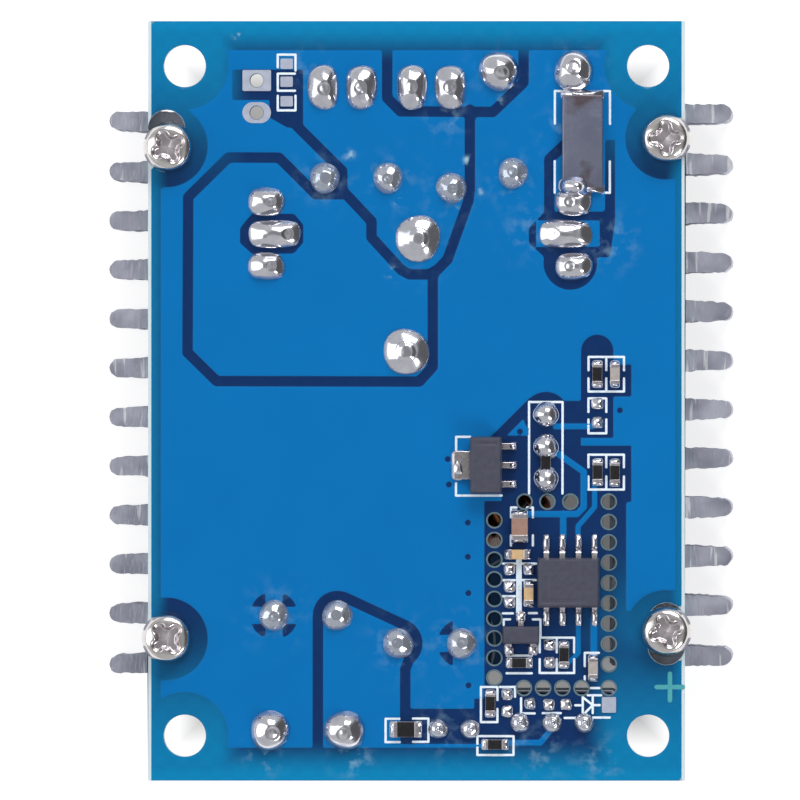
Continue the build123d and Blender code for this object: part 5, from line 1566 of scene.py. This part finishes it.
lap = np.roll(loop(8.975, -7.15, 3.25, 4.525, 1.35, lap_points), -lap_points // 2, axis=0)
index = np.arange(int(lap_count * lap_points))
reach, level = lap[index % lap_points].T
bulge = rng.uniform(0.1, 0.38, int(lap_count) + 1)[index // lap_points]
sag = rng.uniform(-0.06, 0.12, int(lap_count) + 1)[index // lap_points]
reach = reach + bulge * smooth(reach, 9.5, 12.2)
past = level + 7.15
level = level + sag * smooth(np.abs(past), 3.5, 4.5) * np.sign(past) * smooth(reach, 7, 10)
length = np.concatenate([[0], np.cumsum(np.hypot(np.diff(reach), np.diff(level)))])
turn = winding_start + (winding_end - winding_start) * length / length[-1]
turn = turn + rng.uniform(-1.3, 1.3, int(lap_count) + 1)[index // lap_points] * smooth(reach, 9, 12)
lead_in = np.array(
    [
        (4.55, -0.02), (4.55, -0.02), (4.55, -1.4), (4.6, -3.2), (4.9, -4.8), (5.4, -6.3),
        (5.68, -7.9)
    ]
)
lead_out = np.array(
    [
        (12.3, -9.0), (12.6, -7.2), (13.1, -5.4), (13.4, -3.8), (13.43, -1.8), (13.43, -0.02),
        (13.43, -0.02)
    ]
)
reach = np.concatenate([lead_in[:, 0], reach, lead_out[:, 0]])
level = np.concatenate([lead_in[:, 1], level, lead_out[:, 1]])
turn = np.radians(
    np.concatenate([[winding_start] * len(lead_in), turn, [winding_end] * len(lead_out)])
)
path = np.column_stack([reach * np.cos(turn), reach * np.sin(turn) + ring_centre[1], level])
path[0, 2] += 0.005
path[-1, 2] += 0.005
thickness = np.full(len(path), wire_radius)
thickness[[0, -1]] = 0.001
sidelong = np.column_stack([-np.sin(turn), np.cos(turn), 0 * turn])
enamel = plain_finish(
    "enamelled_copper_wire", "C9793F", "A45C2A", 900.0, 0.24, 0.35, 0.00004, 1.0,
    **{"Coat Weight": 0.5}
)
piece(
    "round_wire_winding", wire(path, thickness, sidelong), enamel,
    ["inductor_winding"], crease=60
)

# Terminals
# Two-pole screw terminals in green polyamide. In each pole a tinned brass cage hangs on a slotted
# steel screw, which lifts it against a clamp plate bent from the same strip as the pin.
terminal_places = {"input": (9.47, 26.03, 1), "output": (-8.61, -26.03, -1)}
pole_step = 2.96
housing_half = 5.4
housing_back, housing_front = 3.45, 3.97
screw_step = 1.75


def reordered(shape, order):
    """The same shape with its axes taken in another order."""
    points, faces = shape
    return points[:, order], faces


def disc_part(x, y, radius, low, high, half_gap):
    """Two halves of a disc on either side of a screwdriver slot that runs along X."""
    turn = np.linspace(np.arcsin(half_gap / radius), np.pi - np.arcsin(half_gap / radius), 24)
    half_disc = np.column_stack([radius * np.cos(turn), radius * np.sin(turn)])
    return [plate([half_disc * (1, side) + (x, y)], low, high) for side in (1, -1)]


polyamide = plain_finish("green_polyamide", "2E9460", "237B4C", 1400.0, 0.4, 0.3, 0.00004)
tinned_brass = plain_finish("tinned_brass", "D9D3C8", "B9B2A4", 3200.0, 0.28, 0.4, 0.00002, 1.0)
for name, (x, y, facing) in terminal_places.items():
    poles = {"left": x - pole_step, "right": x + pole_step}
    back, front = y - facing * housing_back, y + facing * housing_front
    middle, half = (back + front) / 2, abs(front - back) / 2
    screw_y = y + facing * screw_step
    pin_holes = [loop(pole, y, 0.62, 0.42, 0.1, 12) for pole in poles.values()]
    floor = plate([loop(x, middle, housing_half, half, 0.2, 24), *pin_holes], -2.6, -1.6)
    roof_middle = middle + facing * 0.7
    driver_holes = [loop(pole, screw_y, 1.35, 1.35, count=32) for pole in poles.values()]
    roof = plate(
        [loop(x, roof_middle, housing_half, half - 0.7, 0.2, 24), *driver_holes], -11.6, -10.2
    )
    chamfer = np.array([(1.42, -11.6), (0.0, -10.2), (1.42, -10.2)]) * (facing, 1) + (back, 0)
    slope = reordered(plate([chamfer], x - housing_half, x + housing_half), [2, 0, 1])
    walls = [
        plate([loop(edge, middle, 0.62, half, 0.15, 24)], -10.2, -2.6)
        for edge in (x - housing_half + 0.62, x + housing_half - 0.62)
    ]
    walls.append(plate([loop(x, middle, 0.76, half - 0.05, 0.05, 24)], -10.2, -2.6))
    solid = (y - facing * 0.55 + back) / 2, abs(y - facing * 0.55 - back) / 2
    walls.append(plate([loop(x, solid[0], housing_half - 0.05, solid[1], 0.05, 24)], -10.2, -2.6))
    wire_ways = [loop(pole, -5.0, 1.3, 1.5, 0.35, 32) for pole in poles.values()]
    face = plate([loop(x, -6.4, housing_half, 3.8, 0.15, 24), *wire_ways],
                 *sorted((front - facing * 0.12, front - facing * 0.5)))
    collars = [
        plate([loop(pole, -5.0, 1.75, 1.95, 0.7, 32), loop(pole, -5.0, 1.32, 1.52, 0.4, 32)],
              *sorted((front, front - facing * 0.3)))
        for pole in poles.values()
    ]
    housing = piece(
        f"{name}_moulded_housing", joined([floor, roof, slope, *walls, reordered(face, [0, 2, 1])]),
        polyamide, [f"{name}_terminal_housing"]
    )
    softened(housing, 0.12)
    rims = joined([reordered(part, [0, 2, 1]) for part in collars])
    softened(piece(f"{name}_wire_rims", rims, polyamide), 0.06)
    plate_reach = (y, y + facing * 3.27)
    strips = []
    for pole in poles.values():
        strips.append(block((pole - 0.6, y - 0.4, -6.15), (pole + 0.6, y + 0.4, 0.0), 0.08))
        strips.append(
            block((pole - 0.9, min(plate_reach), -6.2), (pole + 0.9, max(plate_reach), -5.7), 0.1)
        )
    piece(
        f"{name}_bent_pins", joined(strips), tinned_brass, [f"{name}_terminal_pins"]
    )
    for pole, pole_x in poles.items():
        body = f"{name}_{pole}_cage"
        frame_outline = np.array(
            [(-2, -7.2), (-2, -3.1), (-1.7, -2.8), (1.7, -2.8), (2, -3.1), (2, -7.2), (1.2, -7.2),
             (1.2, -3.6), (-1.2, -3.6), (-1.2, -7.2)]
        ) + (pole_x, 0)
        bow = reordered(plate([frame_outline], screw_y - 1.2, screw_y + 1.2), [0, 2, 1])
        nut = plate(
            [
                loop(pole_x, screw_y, 1.98, 1.19, 0.1, 24),
                loop(pole_x, screw_y, 1.17, 1.17, count=32)
            ],
            -7.2, -6.42
        )
        cage = piece(
            f"{body}_frame", joined([bow, nut]), tinned_brass, [body], body
        )
        softened(cage, 0.08)
        body = f"{name}_{pole}_screw"
        shank = [(0.0, -6.35), (0.85, -6.35)]
        for z in np.arange(-6.5, -8.7, -0.35):
            shank += [(1.05, z), (0.88, z - 0.17)]
        shank += [(1.05, -8.85), (1.5, -8.85), (1.5, -9.45), (0.0, -9.45)]
        halves = disc_part(pole_x, screw_y, 1.49, -10.05, -9.449, 0.25)
        screw = piece(
            f"{body}_steel", joined([turned(pole_x, screw_y, shank, 32), *halves]), nickel_plate,
            [body], body
        )
        softened(screw, 0.05)

# Power devices
# A transistor and a rectifier of the same kind: black epoxy moulded on a tinned copper tab. Each
# is screwed to its heatsink through a nylon bush, with a grey silicone pad behind the tab.
device_y = device_rows[1]
hole_level = -18.2
tab_outline = np.array(
    [
        (-5.0, -5.5), (-5.0, -14.3), (-4.5, -14.6), (-4.5, -15.3), (-5.05, -15.7), (-5.05, -20.6),
        (-4.65, -21.0), (4.65, -21.0), (5.05, -20.6), (5.05, -15.7), (4.5, -15.3), (4.5, -14.6),
        (5.0, -14.3), (5.0, -5.5)
    ]
) + (device_y, 0)
tab_metal = plain_finish("tinned_copper_tab", "D2D0D0", "A5A2A3", 1300.0, 0.3, 0.4, 0.00003, 1.0)
silicone = plain_finish("grey_silicone_pad", "A9AAAE", "8F9095", 2400.0, 0.8, 0.6, 0.00004)
nylon = plain_finish("white_nylon", "ECE9DF", "D9D5C9", 1600.0, 0.45)
bushes, clamps = [], []
for name, side, back in (("transistor", -1, -14.45), ("rectifier", 1, 15.05)):
    face = back - side * 1.3
    epoxy_outline = np.array(
        [(0.01, -5.05), (2.4, -5.05), (3.2, -4.3), (3.2, 4.3), (2.4, 5.05), (0.01, 5.05)]
    ) * (-side, 1) + (face, device_y)
    ejector = turned(0, 0, [(0.0, 3.215), (1.25, 3.215), (1.25, 3.1), (0.0, 3.1)], 32)
    ejector = reordered(ejector, [2, 0, 1])[0] * (-side, 1, 1) + (face, device_y, -9.4), ejector[1]
    device_body = piece(
        f"{name}_epoxy", joined([plate([epoxy_outline], -14.6, -5.4), ejector]), mould_epoxy,
        [f"{name}_body"]
    )
    softened(device_body, 0.18)
    flat = plate(
        [tab_outline, loop(device_y, hole_level, 1.85, 1.85, count=48)], *sorted((back, face))
    )
    legs = [reordered(flat, [2, 0, 1])]
    lead_x = device_columns[side > 0]
    for y in device_rows:
        legs.append(block((lead_x - 0.25, y - 0.4, -5.6), (lead_x + 0.25, y + 0.4, 0.0), 0.06))
        legs.append(block((lead_x - 0.26, y - 0.65, -5.6), (lead_x + 0.26, y + 0.65, -3.9), 0.08))
    leadframe = piece(
        f"{name}_tab_and_leads", joined(legs), tab_metal, [f"{name}_leadframe"]
    )
    softened(leadframe, 0.08)
    sheet = plate(
        [
            loop(device_y, -12.95, 5.55, 8.55, 0.5, 24),
            loop(device_y, hole_level, 1.85, 1.85, count=48)
        ],
        *sorted((back + side * 0.005, back + side * 0.195))
    )
    piece(
        f"{name}_silicone_sheet", reordered(sheet, [2, 0, 1]), silicone,
        [f"{name}_thermal_pad"]
    )
    bush_profile = [
        (1.26, 1.3), (1.84, 1.3), (1.84, 0.0), (3.0, 0.0), (3.0, -0.7), (2.9, -0.8), (1.26, -0.8)
    ]
    bush = reordered(turned(0, 0, bush_profile, 48, True), [2, 0, 1])
    bushes.append((bush[0] * (side, 1, 1) + (face, device_y, hole_level), bush[1]))
    clamp = pan_head(0, 0, 25 + side * 20, 2.7, 1.9, 1.24, 5.0)
    head = reordered(clamp, [2, 0, 1])
    clamps.append((head[0] * (-side, 1, 1) + (face - side * 0.8, device_y, hole_level), head[1]))
piece("nylon_bushes", joined(bushes), nylon, ["insulating_bushes"])
piece(
    "pan_head_clamp_screws", joined(clamps), nickel_plate, ["clamp_screws"],
    crease=50
)

# Fuse
# A plug-in blade fuse in tinted clear plastic, held by two spring clips folded from tinned brass
# strip. The blades are stamped zinc; two windows in the top bare their heads for testing.
fuse_middle = (-2.33, 24.77)
clip_x = (-5.845, 1.185)
leaf_route = [
    (0.12, -1.78), (0.38, -1.8), (0.48, -1.95), (0.53, -2.5), (0.52, -4.0), (0.5, -5.6),
    (0.53, -6.3), (0.66, -6.8), (0.78, -7.05)
]
zinc = plain_finish("stamped_zinc", "BDC0C6", "8E929A", 1700.0, 0.36, 0.5, 0.00003, 1.0)
clips = []
for x in clip_x:
    clips += [bent_lead(x, fuse_middle[1], side, leaf_route, 2.8, 0.34) for side in (1, -1)]
    clips.append(
        block((x - 1.8, fuse_middle[1] - 0.9, -1.95), (x + 1.8, fuse_middle[1] + 0.9, -1.61), 0.1)
    )
    for leg in (x - 1.51, x + 1.51):
        clips.append(
            block(
                (leg - 0.3, fuse_middle[1] - 0.9, -1.9), (leg + 0.3, fuse_middle[1] + 0.9, 0.0),
                0.08
            )
        )
piece("folded_spring_clips", joined(clips), tinned_brass, ["fuse_clips"], crease=40)
blades = [
    block((x - 1.4, fuse_middle[1] - 0.325, -16.6), (x + 1.4, fuse_middle[1] + 0.325, -2.1), 0.15)
    for x in clip_x
]
piece("stamped_blades", joined(blades), zinc, ["fuse_blades"])
tinted = plain_finish(
    "tinted_fuse_plastic", "E0B62C", "CFA31F", 900.0, 0.2, 0.2, 0.00003,
    **{"Transmission Weight": 0.35}
)
half_width = 5.45
saddle = np.array(
    [
        (-half_width, -8.6), (-half_width, -16.6), (0.4 - half_width, -17.0),
        (half_width - 0.4, -17.0), (half_width, -16.6), (half_width, -8.6), (1.82, -8.6),
        (1.82, -12.5), (1.5, -12.8), (-1.5, -12.8), (-1.82, -12.5), (-1.82, -8.6)
    ]
) + (fuse_middle[0], 0)
fuse_shape = [reordered(plate([saddle], 22.97, 26.57), [0, 2, 1])]
fuse_case = piece("fuse_case", joined(fuse_shape), tinted, ["fuse_body"])
softened(fuse_case, 0.3, 3)

# Indicator lamp
# A 3 mm lamp: red tinted epoxy, cast with a collar at the foot and a round top, on two tinned
# leads that go through the board.
lamp_x, lamp_y = 2.99, -25.92
lamp_epoxy = plain_finish(
    "red_tinted_epoxy", "C8252B", "A5151C", 1200.0, 0.12, 0.15, 0.00002,
    **{"Transmission Weight": 0.45}
)
rise = np.radians(np.linspace(0, 90, 9))
lamp_profile = [(0.0, -1.62), (1.5, -1.62), (1.5, -2.5), (1.38, -2.6)]
lamp_profile += [(1.38 * cos(a), -5.2 - 1.38 * sin(a)) for a in rise]
piece(
    "lamp_dome", joined([turned(lamp_x, lamp_y, lamp_profile, 40)]), lamp_epoxy,
    ["indicator_lamp"]
)
legs = [
    block((x - 0.25, lamp_y - 0.25, -1.8), (x + 0.25, lamp_y + 0.25, 0.0), 0.05)
    for x in (lamp_x - 1.27, lamp_x + 1.27)
]
piece("lamp_legs", joined(legs), lead_tin, ["indicator_lamp_leads"])

# Trimmer
# A multi-turn trimming resistor: a sealed blue block on three pins, with a slotted brass screw
# standing out of the top near one end.
trimmer_middle = (10.72, -25.42)
trimmer_screw_place = (7.87, -25.42)
trimmer_blue = plain_finish("blue_trimmer_plastic", "2B63B8", "1F4F9E", 1500.0, 0.38, 0.3, 0.00004)
brass = plain_finish("turned_brass", "D6B566", "A98942", 3000.0, 0.28, 0.4, 0.00002, 1.0)
x, y = trimmer_middle
shell = plate(
    [loop(x, y, 4.75, 2.4, 0.3, 24), loop(*trimmer_screw_place, 1.3, 1.3, count=40)], -11.6, -11.2
)
case = [block((x - 4.74, y - 2.39, -11.25), (x + 4.74, y + 2.39, -1.95), 0.2), shell]
case += [
    block((x + step - 0.5, y - 2.2, -2.2), (x + step + 0.5, y + 2.2, -1.61), 0.1)
    for step in (-4.1, 4.1)
]
trimmer_case = piece("trimmer_case", joined(case), trimmer_blue, ["trimmer_body"])
softened(trimmer_case, 0.15)
pins = [
    block((x - 0.25, y - 0.25, -2.2), (x + 0.25, y + 0.25, 0.0), 0.05) for x, y in small_joints[2:]
]
piece("trimmer_legs", joined(pins), lead_tin, ["trimmer_pins"])
stem = turned(*trimmer_screw_place, [(0.0, -11.3), (1.1, -11.3), (1.1, -11.8), (0.0, -11.8)], 40)
halves = disc_part(*trimmer_screw_place, 1.09, -12.4, -11.799, 0.25)
adjuster = piece(
    "slotted_brass_screw", joined([stem, *halves]), brass, ["trimmer_screw"],
    "trimmer_screw"
)
softened(adjuster, 0.05)
